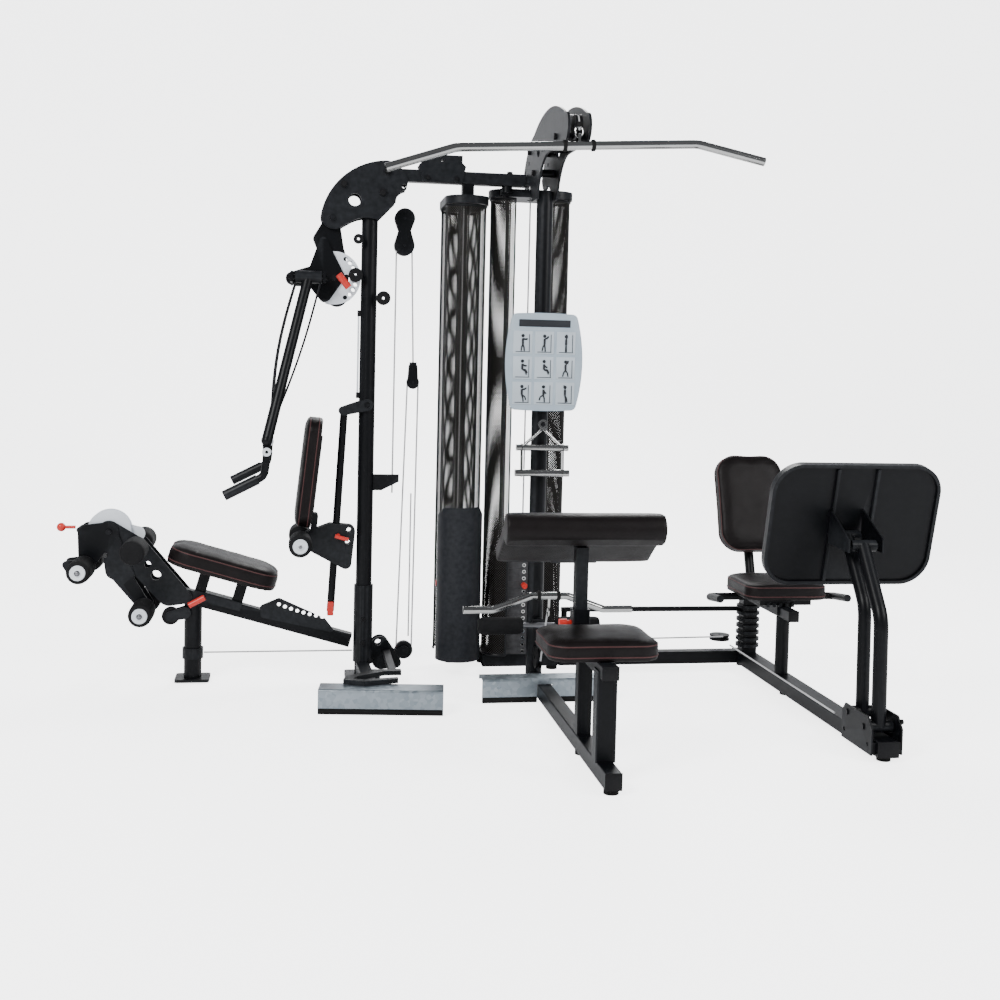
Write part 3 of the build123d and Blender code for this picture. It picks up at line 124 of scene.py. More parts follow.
def add_bump(tree, shader, height, strength, distance):
    """Bump from a height value, on top of any bump there already."""
    node = tree.nodes.new("ShaderNodeBump")
    node.inputs["Strength"].default_value = strength
    node.inputs["Distance"].default_value = distance
    tree.links.new(height, node.inputs["Height"])
    before = shader.inputs["Normal"].links
    if before:
        tree.links.new(before[0].from_socket, node.inputs["Normal"])
    tree.links.new(node.outputs["Normal"], shader.inputs["Normal"])


def edge_wear(tree, base, worn, amount):
    """Colour that turns worn on sharp outer edges, broken up by noise."""
    geometry = tree.nodes.new("ShaderNodeNewGeometry")
    edge = ramp(tree, geometry.outputs["Pointiness"], 0.53, 0.60, (0, 0, 0), (amount,) * 3)
    patches = noise(tree, object_coords(tree), 60, 4)
    broken = tree.nodes.new("ShaderNodeMath")
    broken.operation = "MULTIPLY"
    tree.links.new(edge, broken.inputs[0])
    tree.links.new(patches, broken.inputs[1])
    mix = tree.nodes.new("ShaderNodeMix")
    mix.data_type = "RGBA"
    tree.links.new(broken.outputs[0], mix.inputs["Factor"])
    tree.links.new(base, mix.inputs["A"])
    mix.inputs["B"].default_value = (*worn, 1)
    return mix.outputs["Result"]


# ------------------------------------------------------------------ materials
def powder_coat(name, color, roughness=0.36):
    """Satin powder coat: fine orange peel, faint dust and worn edges."""
    material, tree, shader = node_material(name, color, roughness)
    space = object_coords(tree)
    lighter = tuple(channel * 1.3 for channel in color)
    base = ramp(tree, noise(tree, space, 30, 5), 0.35, 0.75, color, lighter)
    tree.links.new(edge_wear(tree, base, (0.05, 0.054, 0.060), 0.4), shader.inputs["Base Color"])
    tree.links.new(remap(tree, noise(tree, space, 40, 4), roughness - 0.01, roughness + 0.02),
                   shader.inputs["Roughness"])
    add_bump(tree, shader, noise(tree, space, 900, 2), 0.08, 0.0004)
    shader.inputs["Specular IOR Level"].default_value = 0.17
    return material


def bright_metal(name, color, roughness, grain=(1, 1, 1), grain_scale=220, bump=0.05):
    """Bare or plated metal with fine directional grain and smudges."""
    material, tree, shader = node_material(name, color, roughness, 1.0)
    space = object_coords(tree)
    darker = tuple(channel * 0.82 for channel in color)
    tree.links.new(ramp(tree, noise(tree, space, 9, 5), 0.3, 0.7, darker, color),
                   shader.inputs["Base Color"])
    fine = noise(tree, object_coords(tree, grain), grain_scale, 4)
    tree.links.new(remap(tree, fine, roughness * 0.7, roughness * 1.5), shader.inputs["Roughness"])
    add_bump(tree, shader, noise(tree, object_coords(tree, grain), grain_scale * 2, 2), bump, 0.0003)
    return material


def galvanised(name):
    """Bright zinc sheet with spangle and a few scuffs."""
    material, tree, shader = node_material(name, (0.62, 0.66, 0.70), 0.34, 0.85)
    space = object_coords(tree)
    cells = tree.nodes.new("ShaderNodeTexVoronoi")
    cells.inputs["Scale"].default_value = 70
    tree.links.new(space, cells.inputs["Vector"])
    grey = tree.nodes.new("ShaderNodeRGBToBW")
    tree.links.new(cells.outputs["Color"], grey.inputs["Color"])
    tree.links.new(ramp(tree, grey.outputs["Val"], 0.1, 0.9, (0.27, 0.32, 0.36), (0.42, 0.47, 0.51)),
                   shader.inputs["Base Color"])
    tree.links.new(remap(tree, grey.outputs["Val"], 0.26, 0.46), shader.inputs["Roughness"])
    add_bump(tree, shader, noise(tree, object_coords(tree, (0.2, 1, 1)), 120, 3), 0.12, 0.0006)
    return material


def moulded_plastic(name, color, roughness, bump=0.18, specks=700):
    """Moulded plastic with a spark-eroded texture and slight colour drift."""
    material, tree, shader = node_material(name, color, roughness)
    space = object_coords(tree)
    lighter = tuple(min(1.0, channel * 1.22) for channel in color)
    tree.links.new(ramp(tree, noise(tree, space, 7, 4), 0.3, 0.75, color, lighter),
                   shader.inputs["Base Color"])
    tree.links.new(remap(tree, noise(tree, space, 30, 3), roughness - 0.06, roughness + 0.08),
                   shader.inputs["Roughness"])
    add_bump(tree, shader, noise(tree, space, specks, 2), bump, 0.0004)
    shader.inputs["Specular IOR Level"].default_value = 0.2 if max(color) < 0.05 else 0.5
    return material


def cast_iron(name):
    """Painted castings: lumpy sand texture."""
    material, tree, shader = node_material(name, (0.018, 0.018, 0.021), 0.5)
    space = object_coords(tree)
    base = ramp(tree, noise(tree, space, 18, 5), 0.35, 0.7, (0.005, 0.005, 0.006), (0.013, 0.013, 0.015))
    tree.links.new(edge_wear(tree, base, (0.09, 0.09, 0.095), 0.7), shader.inputs["Base Color"])
    add_bump(tree, shader, noise(tree, space, 160, 4), 0.35, 0.0008)
    return material


def leatherette(name):
    """Dark brown-black upholstery vinyl: pebble grain, creases and soft sheen."""
    material, tree, shader = node_material(name, (0.022, 0.016, 0.016), 0.42)
    space = object_coords(tree)
    pebble = tree.nodes.new("ShaderNodeTexVoronoi")
    pebble.feature = "DISTANCE_TO_EDGE"
    pebble.inputs["Scale"].default_value = 330
    tree.links.new(space, pebble.inputs["Vector"])
    tint = ramp(tree, noise(tree, space, 18, 5), 0.3, 0.75, (0.0040, 0.0026, 0.0028),
                (0.0066, 0.0044, 0.0046))
    tree.links.new(tint, shader.inputs["Base Color"])
    tree.links.new(remap(tree, noise(tree, space, 22, 4), 0.34, 0.55), shader.inputs["Roughness"])
    add_bump(tree, shader, pebble.outputs["Distance"], 0.5, 0.0009)
    add_bump(tree, shader, noise(tree, space, 26, 4), 0.22, 0.0022)
    shader.inputs["Specular IOR Level"].default_value = 0.20
    return material


def foam(name):
    """Closed-cell foam skin."""
    material, tree, shader = node_material(name, (0.016, 0.016, 0.018), 0.78)
    space = object_coords(tree)
    tint = ramp(tree, noise(tree, space, 12, 5), 0.3, 0.8, (0.0045, 0.0045, 0.0050), (0.0090, 0.0090, 0.0100))
    tree.links.new(tint, shader.inputs["Base Color"])
    add_bump(tree, shader, noise(tree, space, 420, 4), 0.5, 0.0009)
    shader.inputs["Specular IOR Level"].default_value = 0.20
    return material


def braided(name):
    """Grey nylon sheath with the lay of the wire showing through."""
    material, tree, shader = node_material(name, (0.50, 0.50, 0.50), 0.38)
    space = object_coords(tree, (1, 1, 1))
    wave = tree.nodes.new("ShaderNodeTexWave")
    wave.inputs["Scale"].default_value = 160
    wave.inputs["Distortion"].default_value = 1.2
    tree.links.new(space, wave.inputs["Vector"])
    tree.links.new(ramp(tree, wave.outputs["Fac"], 0.2, 0.9, (0.33, 0.33, 0.34), (0.62, 0.62, 0.62)),
                   shader.inputs["Base Color"])
    add_bump(tree, shader, wave.outputs["Fac"], 0.25, 0.0004)
    return material


def placard_print(name):
    """Pale grey-blue panel with a faint random tone."""
    material, tree, shader = node_material(name, (0.62, 0.70, 0.76), 0.28)
    space = object_coords(tree)
    tree.links.new(ramp(tree, noise(tree, space, 9, 3), 0.3, 0.8, (0.33, 0.40, 0.46), (0.44, 0.51, 0.57)),
                   shader.inputs["Base Color"])
    add_bump(tree, shader, noise(tree, space, 260, 2), 0.06, 0.0003)
    shader.inputs["Coat Weight"].default_value = 0.4
    return material


BLACK = powder_coat("black_powder_coat", (0.0030, 0.0033, 0.0042))
SLATE = powder_coat("slate_cover", (0.0075, 0.0080, 0.0105), 0.44)
SCREEN = powder_coat("screen_black", (0.0060, 0.0050, 0.0042), 0.5)
SILVER = galvanised("galvanised_sheet")
CHROME = bright_metal("chrome_plate", (0.58, 0.58, 0.57), 0.12, (0.15, 1, 1), 60, 0.02)
STEEL = bright_metal("zinc_steel", (0.30, 0.30, 0.32), 0.34)
CAST = cast_iron("cast_plates")
NYLON = moulded_plastic("black_nylon", (0.0050, 0.0050, 0.0058), 0.46)
HUB = moulded_plastic("white_hub", (0.66, 0.69, 0.72), 0.42, 0.10)
RED = moulded_plastic("red_plastic", (0.50, 0.022, 0.014), 0.33, 0.10)
PALE = moulded_plastic("pale_paint", (0.66, 0.69, 0.73), 0.36, 0.12)
RUBBER = moulded_plastic("black_rubber", (0.0042, 0.0042, 0.0042), 0.70, 0.4, 260)
VINYL = leatherette("leatherette")
THREAD = moulded_plastic("seam_thread", (0.055, 0.014, 0.014), 0.6, 0.3, 1200)
FOAM = foam("foam_skin")
CABLE = braided("cable_sheath")
PRINT = placard_print("placard_print")
INK = moulded_plastic("placard_ink", (0.020, 0.022, 0.026), 0.5, 0.05)
TILE = moulded_plastic("placard_tile", (0.40, 0.45, 0.49), 0.4, 0.05)

SLOT_MATERIAL = {
    "black_frame": BLACK, "silver_step": SILVER, "black_plastic": NYLON, "black_screen": SCREEN,
    "cast_plates": CAST, "chrome": CHROME, "pale_plate": PALE, "red_knob": RED, "upholstery": VINYL,
    "foam": FOAM, "placard": PRINT, "rubber": RUBBER, "zinc": STEEL, "cable_sheath": CABLE,
}
NODE_MATERIAL = {"press_stack_cover": SLATE, "fasteners": NYLON}
BEVEL_NODES = {
    "base_frame", "foot_plates", "press_head_plates", "top_beam", "lat_head_plates", "press_yoke",
    "leg_lever", "leg_developer_bracket", "press_sector_plates", "leg_cam", "leg_press_footplate",
    "leg_press_frame", "lat_seat_frame", "bench_rail", "low_pulley_bracket", "exercise_placard",
    "seat_carriage",
}


def dress_cad():
    """Give every CAD node its slot's material, smooth shading and, on plates and beams, a fine bevel."""
    for row in frame["record"]["subparts"]:
        node = NODES[row["node"]]
        material = NODE_MATERIAL.get(row["node"], SLOT_MATERIAL[row["material_slot"]])
        node.data.materials.clear()
        node.data.materials.append(material)
        node.data.shade_smooth()
        node.data.set_sharp_from_angle(angle=math.radians(35))
        if row["node"] in BEVEL_NODES:
            bevel = node.modifiers.new("edge", "BEVEL")
            bevel.width = 0.0011
            bevel.segments = 2
            bevel.limit_method = "ANGLE"
            bevel.angle_limit = math.radians(50)


dress_cad()


# ------------------------------------------------------------------ mesh building blocks
def finish_piece(name, mesh_data, material, body, smooth=35.0):
    """Turn a bmesh into an object that rides on a body."""
    bmesh.ops.recalc_face_normals(mesh_data, faces=mesh_data.faces)
    mesh = bpy.data.meshes.new(name)
    mesh_data.to_mesh(mesh)
    mesh_data.free()
    mesh.shade_smooth()
    mesh.set_sharp_from_angle(angle=math.radians(smooth))
    mesh.materials.append(material)
    piece = bpy.data.objects.new(name, mesh)
    bpy.context.scene.collection.objects.link(piece)
    if body:
        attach(piece, body)
    return piece


def add_lathe(data, origin, axis, profile, sides=40, hollow=False):
    """Solid of revolution from (distance along the axis, radius) pairs; hollow joins the two ends."""
    turn = Vector(axis).normalized().to_track_quat("Z", "Y")
    rings = []
    for distance, radius in profile:
        if radius < 1e-6:
            rings.append([data.verts.new(origin + turn @ Vector((0, 0, distance)))])
            continue
        rings.append([data.verts.new(origin + turn @ Vector((radius * math.cos(2 * math.pi * step / sides),
                                                             radius * math.sin(2 * math.pi * step / sides),
                                                             distance))) for step in range(sides)])
    for lower, upper in zip(rings, rings[1:] + rings[:1] if hollow else rings[1:]):
        for step in range(sides):
            after = (step + 1) % sides
            if len(lower) == 1:
                data.faces.new((lower[0], upper[after], upper[step]))
            elif len(upper) == 1:
                data.faces.new((lower[step], lower[after], upper[0]))
            else:
                data.faces.new((lower[step], lower[after], upper[after], upper[step]))


def add_tube(data, points, radius, sides=12, closed=False):
    """Round tube along points, with its ring turned smoothly from one to the next."""
    points = [Vector(point) for point in points]
    count = len(points)
    normal = None
    rings = []
    for index, point in enumerate(points):
        before = points[index - 1] if index or closed else point
        after = points[(index + 1) % count] if index < count - 1 or closed else point
        along = (after - before).normalized()
        if normal is None:
            normal = along.orthogonal().normalized()
        normal = (normal - along * normal.dot(along)).normalized()
        other = along.cross(normal)
        rings.append([data.verts.new(point + radius * (normal * math.cos(2 * math.pi * step / sides)
                                                       + other * math.sin(2 * math.pi * step / sides)))
                      for step in range(sides)])
    pairs = list(zip(rings, rings[1:])) + ([(rings[-1], rings[0])] if closed else [])
    for lower, upper in pairs:
        for step in range(sides):
            after = (step + 1) % sides
            data.faces.new((lower[step], lower[after], upper[after], upper[step]))
    if not closed:
        data.faces.new(rings[0][::-1])
        data.faces.new(rings[-1])


def add_block(data, centre, size, turn=None, bevel=0.0015):
    """Box with softened edges."""
    made = bmesh.ops.create_cube(data, size=1.0)["verts"]
    matrix = Matrix.Translation(centre) @ (turn.to_matrix().to_4x4() if turn else Matrix.Identity(4))
    matrix = matrix @ Matrix.Diagonal((*size, 1))
    bmesh.ops.transform(data, matrix=matrix, verts=made)
    edges = list({edge for vert in made for edge in vert.link_edges})
    bmesh.ops.bevel(data, geom=edges, offset=bevel, segments=2, affect="EDGES", profile=0.5)


def line(start, end, steps):
    """Evenly spaced points from start to end."""
    start, end = Vector(start), Vector(end)
    return [start.lerp(end, step / steps) for step in range(steps + 1)]


# ------------------------------------------------------------------ foam rollers with hubs
HUB_RADIUS, HUB_DEPTH, AXLE_RADIUS = 0.027, 0.009, 0.010


def add_roller(foams, hubs, bolts, centre, direction, inner, outer, radius, capped=True):
    """Foam roller on an axle: slightly crowned skin and, when capped, a pale hub with its bolt."""
    start = centre + direction * inner
    length = outer - inner
    crown = [(0.0, 0.0), (0.0, radius * 0.80), (0.004, radius * 0.93), (0.012, radius * 0.985)]
    middle_part = [(length * share, radius * (1 + 0.012 * math.sin(math.pi * share)))
                   for share in (0.2, 0.4, 0.6, 0.8)]
    far_end = [(length - distance, reach) for distance, reach in reversed(crown)]
    add_lathe(foams, start, direction, crown + middle_part + far_end)
    if not capped:
        return
    tip = centre + direction * (outer - 0.001)
    hub_radius = min(HUB_RADIUS, radius * 0.66)
    add_lathe(hubs, tip, direction,
              [(0, 0), (0, hub_radius), (HUB_DEPTH * 0.5, hub_radius), (HUB_DEPTH * 0.8, hub_radius * 0.9),
               (HUB_DEPTH * 0.6, hub_radius * 0.62), (HUB_DEPTH * 0.6, hub_radius * 0.45),
               (HUB_DEPTH, hub_radius * 0.42), (HUB_DEPTH, 0)])
    add_lathe(bolts, tip + direction * HUB_DEPTH * 0.9, direction,
              [(0, 0), (0, 0.0075), (0.003, 0.0075), (0.0045, 0.005), (0.0045, 0)], 6)


def roller_set(name, node, body, pairs):
    """All rollers of one CAD node: foam, hubs, bolts and axles as pieces of their own."""
    foams, hubs, bolts, axles = (bmesh.new() for _ in range(4))
    for centre, direction, inner, outer, radius, capped in pairs:
        for side in (-1, 1):
            add_roller(foams, hubs, bolts, centre, direction * side, inner, outer, radius, capped)
        half = outer - 0.02
        add_lathe(axles, centre - direction * half, direction,
                  [(0, 0), (0, AXLE_RADIUS), (2 * half, AXLE_RADIUS), (2 * half, 0)], 24)
    skin = finish_piece(name + "_foam", foams, FOAM, body, 60)
    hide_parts(node)
    if hubs.verts:
        finish_piece(name + "_hubs", hubs, HUB, body)
        finish_piece(name + "_hub_bolts", bolts, STEEL, body)
    finish_piece(name + "_axles", axles, STEEL, body)


Y_AXIS, X_AXIS = Vector((0, 1, 0)), Vector((1, 0, 0))
lumbar_low, lumbar_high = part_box("lumbar_rollers")
roller_radius = (lumbar_high.z - lumbar_low.z) / 2
roller_set("lumbar", "lumbar_rollers", "back_support",
           [(middle("lumbar_rollers"), Y_AXIS, 0.060, 0.195, roller_radius, True)])

lever_low, lever_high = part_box("leg_lever_rollers")
ankle = Vector((lever_high.x - roller_radius, 0, lever_low.z + roller_radius))
shin = Vector((lever_low.x + roller_radius, 0, lever_high.z - roller_radius))
roller_set("leg_lever", "leg_lever_rollers", "leg_lever",
           [(ankle, Y_AXIS, 0.066, 0.214, roller_radius, True),
            (shin, Y_AXIS, 0.066, 0.214, roller_radius, True)])

fixed_low, fixed_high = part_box("fixed_rollers")
knee_radius, lat_roller_radius = roller_radius + 0.002, 0.031
knee = Vector((fixed_low.x + knee_radius, 0, fixed_high.z - knee_radius))
lat_ankle = Vector((middle("lat_tower").x, -0.270, fixed_low.z + lat_roller_radius))
roller_set("fixed", "fixed_rollers", "root",
           [(knee, Y_AXIS, 0.066, 0.210, knee_radius, False),
            (lat_ankle, X_AXIS, 0.062, 0.224, lat_roller_radius, False)])


# ------------------------------------------------------------------ upholstered pads by cloth simulation
VOXEL = 0.006
CLOTH_FRAMES = 20
SIDE_SHARE = 0.35           # a pad's board holds its outline, so the sides move less than the crown
SMOOTHING_ROUNDS = 14


def loose_parts(node):
    """Vertex and face lists of each separate solid in a CAD node, in the order of their first vertex."""
    data = bmesh.new()
    data.from_mesh(NODES[node].data)
    bmesh.ops.remove_doubles(data, verts=data.verts, dist=1e-6)
    data.verts.ensure_lookup_table()
    data.verts.index_update()
    part_of = [None] * len(data.verts)
    count = 0
    for first in data.verts:
        if part_of[first.index] is not None:
            continue
        stack = [first]
        part_of[first.index] = count
        while stack:
            vert = stack.pop()
            for edge in vert.link_edges:
                other = edge.other_vert(vert)
                if part_of[other.index] is None:
                    part_of[other.index] = count
                    stack.append(other)
        count += 1
    parts = [([], []) for _ in range(count)]
    place = {}
    for vert in data.verts:
        points = parts[part_of[vert.index]][0]
        place[vert.index] = len(points)
        points.append(vert.co.copy())
    for face in data.faces:
        parts[part_of[face.verts[0].index]][1].append([place[vert.index] for vert in face.verts])
    data.free()
    return parts


def apply_modifier(piece):
    """Bake the evaluated mesh of a piece into it."""
    graph = bpy.context.evaluated_depsgraph_get()
    baked = bpy.data.meshes.new_from_object(piece.evaluated_get(graph))
    piece.modifiers.clear()
    piece.data = baked


def smoothed(mesh, values, rounds):
    """Vectors averaged with those of neighbouring vertices, so that a taut cover has no creases."""
    neighbours = [[] for _ in mesh.vertices]
    for edge in mesh.edges:
        first, second = edge.vertices
        neighbours[first].append(second)
        neighbours[second].append(first)
    for _ in range(rounds):
        values = [(values[index] + sum((values[other] for other in around), Vector())) / (len(around) + 1)
                  for index, around in enumerate(neighbours)]
    return values


def pad(name, shape, body, node, normal, shrink, cap, welted=True):
    """Cushion from a CAD solid: remeshed, swollen by cloth pressure, flat on its base.

    normal points out of the sitting side; the base is the plane behind it. Welts go round the sides.
    """
    coords, faces = shape
    normal = Vector(normal).normalized()
    centre = sum(coords, Vector()) / len(coords)
    base = min(point.dot(normal) for point in coords)
    top = max(point.dot(normal) for point in coords)
    mesh = bpy.data.meshes.new(name)
    shrunk = []
    for point in coords:
        level = point.dot(normal)
        flat = point - centre - normal * (level - centre.dot(normal))
        reach = flat.length
        pulled = flat * (max(reach - shrink, 0) / reach) if reach > 1e-6 else flat
        new_level = base + (level - base) * (1 - shrink / (top - base))
        shrunk.append(centre + pulled + normal * (new_level - centre.dot(normal)))
    mesh.from_pydata(shrunk, [], faces)
    piece = bpy.data.objects.new(name, mesh)
    bpy.context.scene.collection.objects.link(piece)
    remesh = piece.modifiers.new("remesh", "REMESH")
    remesh.mode = "VOXEL"
    remesh.voxel_size = VOXEL
    apply_modifier(piece)
    rest = [vert.co.copy() for vert in piece.data.vertices]
    cloth = piece.modifiers.new("cloth", "CLOTH")
    cloth.settings.quality = 4
    cloth.settings.use_pressure = True
    cloth.settings.uniform_pressure_force = 4
    cloth.settings.tension_stiffness = 10
    cloth.settings.compression_stiffness = 8
    cloth.settings.bending_stiffness = 1.5
    cloth.settings.effector_weights.gravity = 0
    cloth.point_cache.frame_end = CLOTH_FRAMES
    for step in range(1, CLOTH_FRAMES + 1):
        bpy.context.scene.frame_set(step)
    graph = bpy.context.evaluated_depsgraph_get()
    swollen = [vert.co.copy() for vert in piece.evaluated_get(graph).data.vertices]
    piece.modifiers.clear()
    bpy.context.scene.frame_set(1)
    moves = [after - before for before, after in zip(rest, swollen)]
    moves = [move.normalized() * cap if move.length > cap else move for move in moves]
    moves = smoothed(piece.data, moves, SMOOTHING_ROUNDS)
    for vert, before, move in zip(piece.data.vertices, rest, moves):
        crown = normal * move.dot(normal)
        vert.co = before + crown + (move - crown) * SIDE_SHARE
    floor_level = base + 0.001
    for vert in piece.data.vertices:
        level = vert.co.dot(normal)
        if level < floor_level:
            vert.co += normal * (floor_level - level)
    subdivide = piece.modifiers.new("subdivide", "SUBSURF")
    subdivide.levels = subdivide.render_levels = 1
    apply_modifier(piece)
    piece.data.shade_smooth()
    piece.data.materials.clear()
    piece.data.materials.append(VINYL)
    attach(piece, body)
    if node:
        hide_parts(node)
    if not welted:
        return piece
    welts = bmesh.new()
    for share in (0.24, 0.80):
        add_welt(welts, piece, normal, base + (top - base) * share)
    finish_piece(name + "_welts", welts, THREAD, body, 60)
    return piece


WELT_RADIUS = 0.0021


def add_welt(data, piece, normal, level):
    """Sewn welt: a thin cord laid round a pad where a plane cuts it."""
    cut = bmesh.new()
    cut.from_mesh(piece.data)
    everything = cut.verts[:] + cut.edges[:] + cut.faces[:]
    made = bmesh.ops.bisect_plane(cut, geom=everything, plane_co=normal * level, plane_no=normal)["geom_cut"]
    edges = [item for item in made if isinstance(item, bmesh.types.BMEdge)]
    neighbours = {}
    for edge in edges:
        for vert in edge.verts:
            neighbours.setdefault(vert, []).append(edge.other_vert(vert))
    loops = []
    seen = set()
    for start in neighbours:
        if start in seen:
            continue
        loop, vert = [], start
        while vert is not None:
            seen.add(vert)
            loop.append(vert.co.copy())
            vert = next((other for other in neighbours[vert] if other not in seen), None)
        loops.append(loop)
    cut.free()
    loop = max(loops, key=len)
    for _ in range(6):
        loop = [(loop[i - 1] + loop[i] * 2 + loop[(i + 1) % len(loop)]) / 4 for i in range(len(loop))]
    spaced = resample(loop, 0.006)
    add_tube(data, spaced, WELT_RADIUS, 8, closed=True)


def resample(loop, step):
    """Points along a closed loop at an even distance."""
    lengths = [(loop[(i + 1) % len(loop)] - loop[i]).length for i in range(len(loop))]
    total = sum(lengths)
    count = max(12, int(total / step))
    points, index, walked = [], 0, 0.0
    for number in range(count):
        target = total * number / count
        while walked + lengths[index] < target:
            walked += lengths[index]
            index += 1
        share = (target - walked) / max(lengths[index], 1e-9)
        points.append(loop[index].lerp(loop[(index + 1) % len(loop)], share))
    return points


PAD_LEAN, BENCH_SLOPE, REST_LEAN, SLAB_SLOPE = (math.radians(angle) for angle in (6, 16, 18, 35))
pad("back_cushion", loose_parts("back_pad")[0], "back_pad", "back_pad",
    (-math.cos(PAD_LEAN), 0, math.sin(PAD_LEAN)), 0.005, 0.011)
pad("bench_cushion", loose_parts("bench_seat_pad")[0], "bench_seat", "bench_seat_pad",
    (math.sin(BENCH_SLOPE), 0, math.cos(BENCH_SLOPE)), 0.006, 0.012)
pad("lat_cushion", loose_parts("lat_seat_pad")[0], "root", "lat_seat_pad", (0, 0, 1), 0.005, 0.011)
leg_press_shapes = sorted(loose_parts("leg_press_pads"), key=lambda part: max(point.z for point in part[0]))
for label, shape in zip(("seat", "rest"), leg_press_shapes):
    facing = (0, 0, 1) if label == "seat" else (0, -math.cos(REST_LEAN), math.sin(REST_LEAN))
    pad("leg_press_" + label, shape, "leg_press_seat", "leg_press_pads", facing, 0.006, 0.012)
pad("curl_cushion", loose_parts("curl_pads")[0], "curl_pad", "curl_pads",
    (0, math.sin(SLAB_SLOPE), math.cos(SLAB_SLOPE)), 0.004, 0.006, welted=False)


# ------------------------------------------------------------------ perforated screens
UP = Vector((0, 0, 1))
HOLE_PITCH, HOLE_SHARE, SHEET = 0.0095, 0.52, 0.0012


def add_perforated(data, centre, outward, across, radius, half_angle, base, top):
    """Curved sheet of staggered diamond cells, each with a diamond hole through it."""
    rows = int((top - base) / HOLE_PITCH) * 2
    row_height = (top - base) / rows
    columns = int(2 * half_angle * radius / HOLE_PITCH)
    step = 2 * half_angle / columns
    placed = {}

    def place(across_steps, up_steps, depth):
        """Vertex at a place counted in half cells, shared by the cells that touch it."""
        key = (round(across_steps * 100), round(up_steps * 100), depth)
        if key not in placed:
            angle = -half_angle + step * across_steps
            reach = radius - SHEET * depth
            height = UP * (base + row_height * up_steps)
            placed[key] = data.verts.new(centre + outward * (math.cos(angle) * reach)
                                         + across * (math.sin(angle) * reach) + height)
        return placed[key]

    corners = ((0.5, 0), (0, 1), (-0.5, 0), (0, -1))
    for row in range(1, rows):
        for column in range(columns - (row + 1) % 2):
            middle_across, middle_up = column + (0.5 if row % 2 else 1.0), row
            cell = [(middle_across + x, middle_up + z) for x, z in corners]
            hole = [(middle_across + x * HOLE_SHARE, middle_up + z * HOLE_SHARE) for x, z in corners]
            for this, after in ((0, 1), (1, 2), (2, 3), (3, 0)):
                front = [(*cell[this], 0), (*cell[after], 0), (*hole[after], 0), (*hole[this], 0)]
                back = [(*cell[after], 1), (*cell[this], 1), (*hole[this], 1), (*hole[after], 1)]
                wall = [(*hole[this], 0), (*hole[after], 0), (*hole[after], 1), (*hole[this], 1)]
                for quad in (front, back, wall):
                    data.faces.new([place(*corner) for corner in quad])
    behind = {vert: placed[(key[0], key[1], 1)] for key, vert in placed.items() if not key[2]}
    rim = [tuple(edge.verts) for edge in data.edges if edge.is_boundary]
    for first, second in rim:
        if first in behind and second in behind:
            data.faces.new((first, second, behind[second], behind[first]))


def screen_boxes():
    """Low and high corner of each of the four curved screens."""
    for points, _ in loose_parts("stack_screens"):
        low = Vector([min(point[axis] for point in points) for axis in range(3)])
        high = Vector([max(point[axis] for point in points) for axis in range(3)])
        yield low, high


def screens():
    """Perforated sheets in place of the plain CAD ones."""
    data = bmesh.new()
    rims = bmesh.new()
    stacks = (middle("press_weight_plates"), middle("lat_weight_plates"))
    half = math.radians(97)
    for low, high in screen_boxes():
        mid = (low + high) / 2
        size = high - low
        stack = min(stacks, key=lambda point: (point.xy - mid.xy).length)
        along = X_AXIS if size.y > size.x else Y_AXIS
        sign = 1 if (mid - stack).dot(along) > 0 else -1
        outward = along * sign
        across = UP.cross(outward)
        radius = max(size.x, size.y) / 2
        tip = high.dot(along) if sign > 0 else -low.dot(along)
        centre = Vector((stack.x, stack.y, 0))
        centre += outward * (tip - radius - centre.dot(outward))
        add_perforated(data, centre, outward, across, radius, half, low.z + 0.006, high.z - 0.004)
        for side in (-1, 1):
            edge = centre + outward * math.cos(half) * radius + across * math.sin(half) * radius * side
            add_tube(rims, line(edge + UP * (low.z + 0.004), edge + UP * (high.z - 0.002), 2), 0.0035, 8)
        for height in (low.z + 0.006, high.z - 0.005):
            middle_of_rim = centre + UP * height
            angles = [-half + 2 * half * step / 40 for step in range(41)]
            ring = [middle_of_rim + outward * math.cos(angle) * radius + across * math.sin(angle) * radius
                    for angle in angles]
            add_tube(rims, ring, 0.0045, 8)
    sheet = finish_piece("perforated_screens", data, SCREEN, "root", 40)
    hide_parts("stack_screens")
    finish_piece("screen_rims", rims, BLACK, "root")


screens()


# ------------------------------------------------------------------ cables that stretch between bodies
CABLE_RADIUS = 0.0032


def moving_cable(name, points):
    """Round cable along points, baked in place on no body."""
    data = bmesh.new()
    add_tube(data, points, CABLE_RADIUS, 10)
    piece = finish_piece(name, data, CABLE, None, 60)
    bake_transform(piece)
    return piece


def arc(centre, radius, first, last, plane, steps=14):
    """Points on an arc; plane gives the two unit directions."""
    right, up = plane
    return [centre + (right * math.cos(angle) + up * math.sin(angle)) * radius
            for angle in (math.radians(first + (last - first) * step / steps) for step in range(steps + 1))]


LAT_X = middle("lat_tower").x
LAT_Y = middle("lat_tower").y     # the box reaches forward to the hook, so this lies ahead of the tube
GROOVE = 0.0047                                     # a cable's centre runs this far inside a wheel's rim
NOSE = Vector((LAT_X, -0.690, 1.975))
REAR = Vector((LAT_X, -0.400, 2.030))
BEHIND = Vector((LAT_X, -0.060, 1.945))
NOSE_R, REAR_R, BEHIND_R = 0.040 - GROOVE, 0.046 - GROOVE, 0.026 - GROOVE
AHEAD_UP = (Vector((0, -1, 0)), UP)
STACK_Y = 0.1
PRESS_CAP_TOP, LAT_CAP_TOP = 1.828, 1.868
CAP_WHEEL = Vector((LAT_X, STACK_Y - BEHIND_R, LAT_CAP_TOP + 0.045))


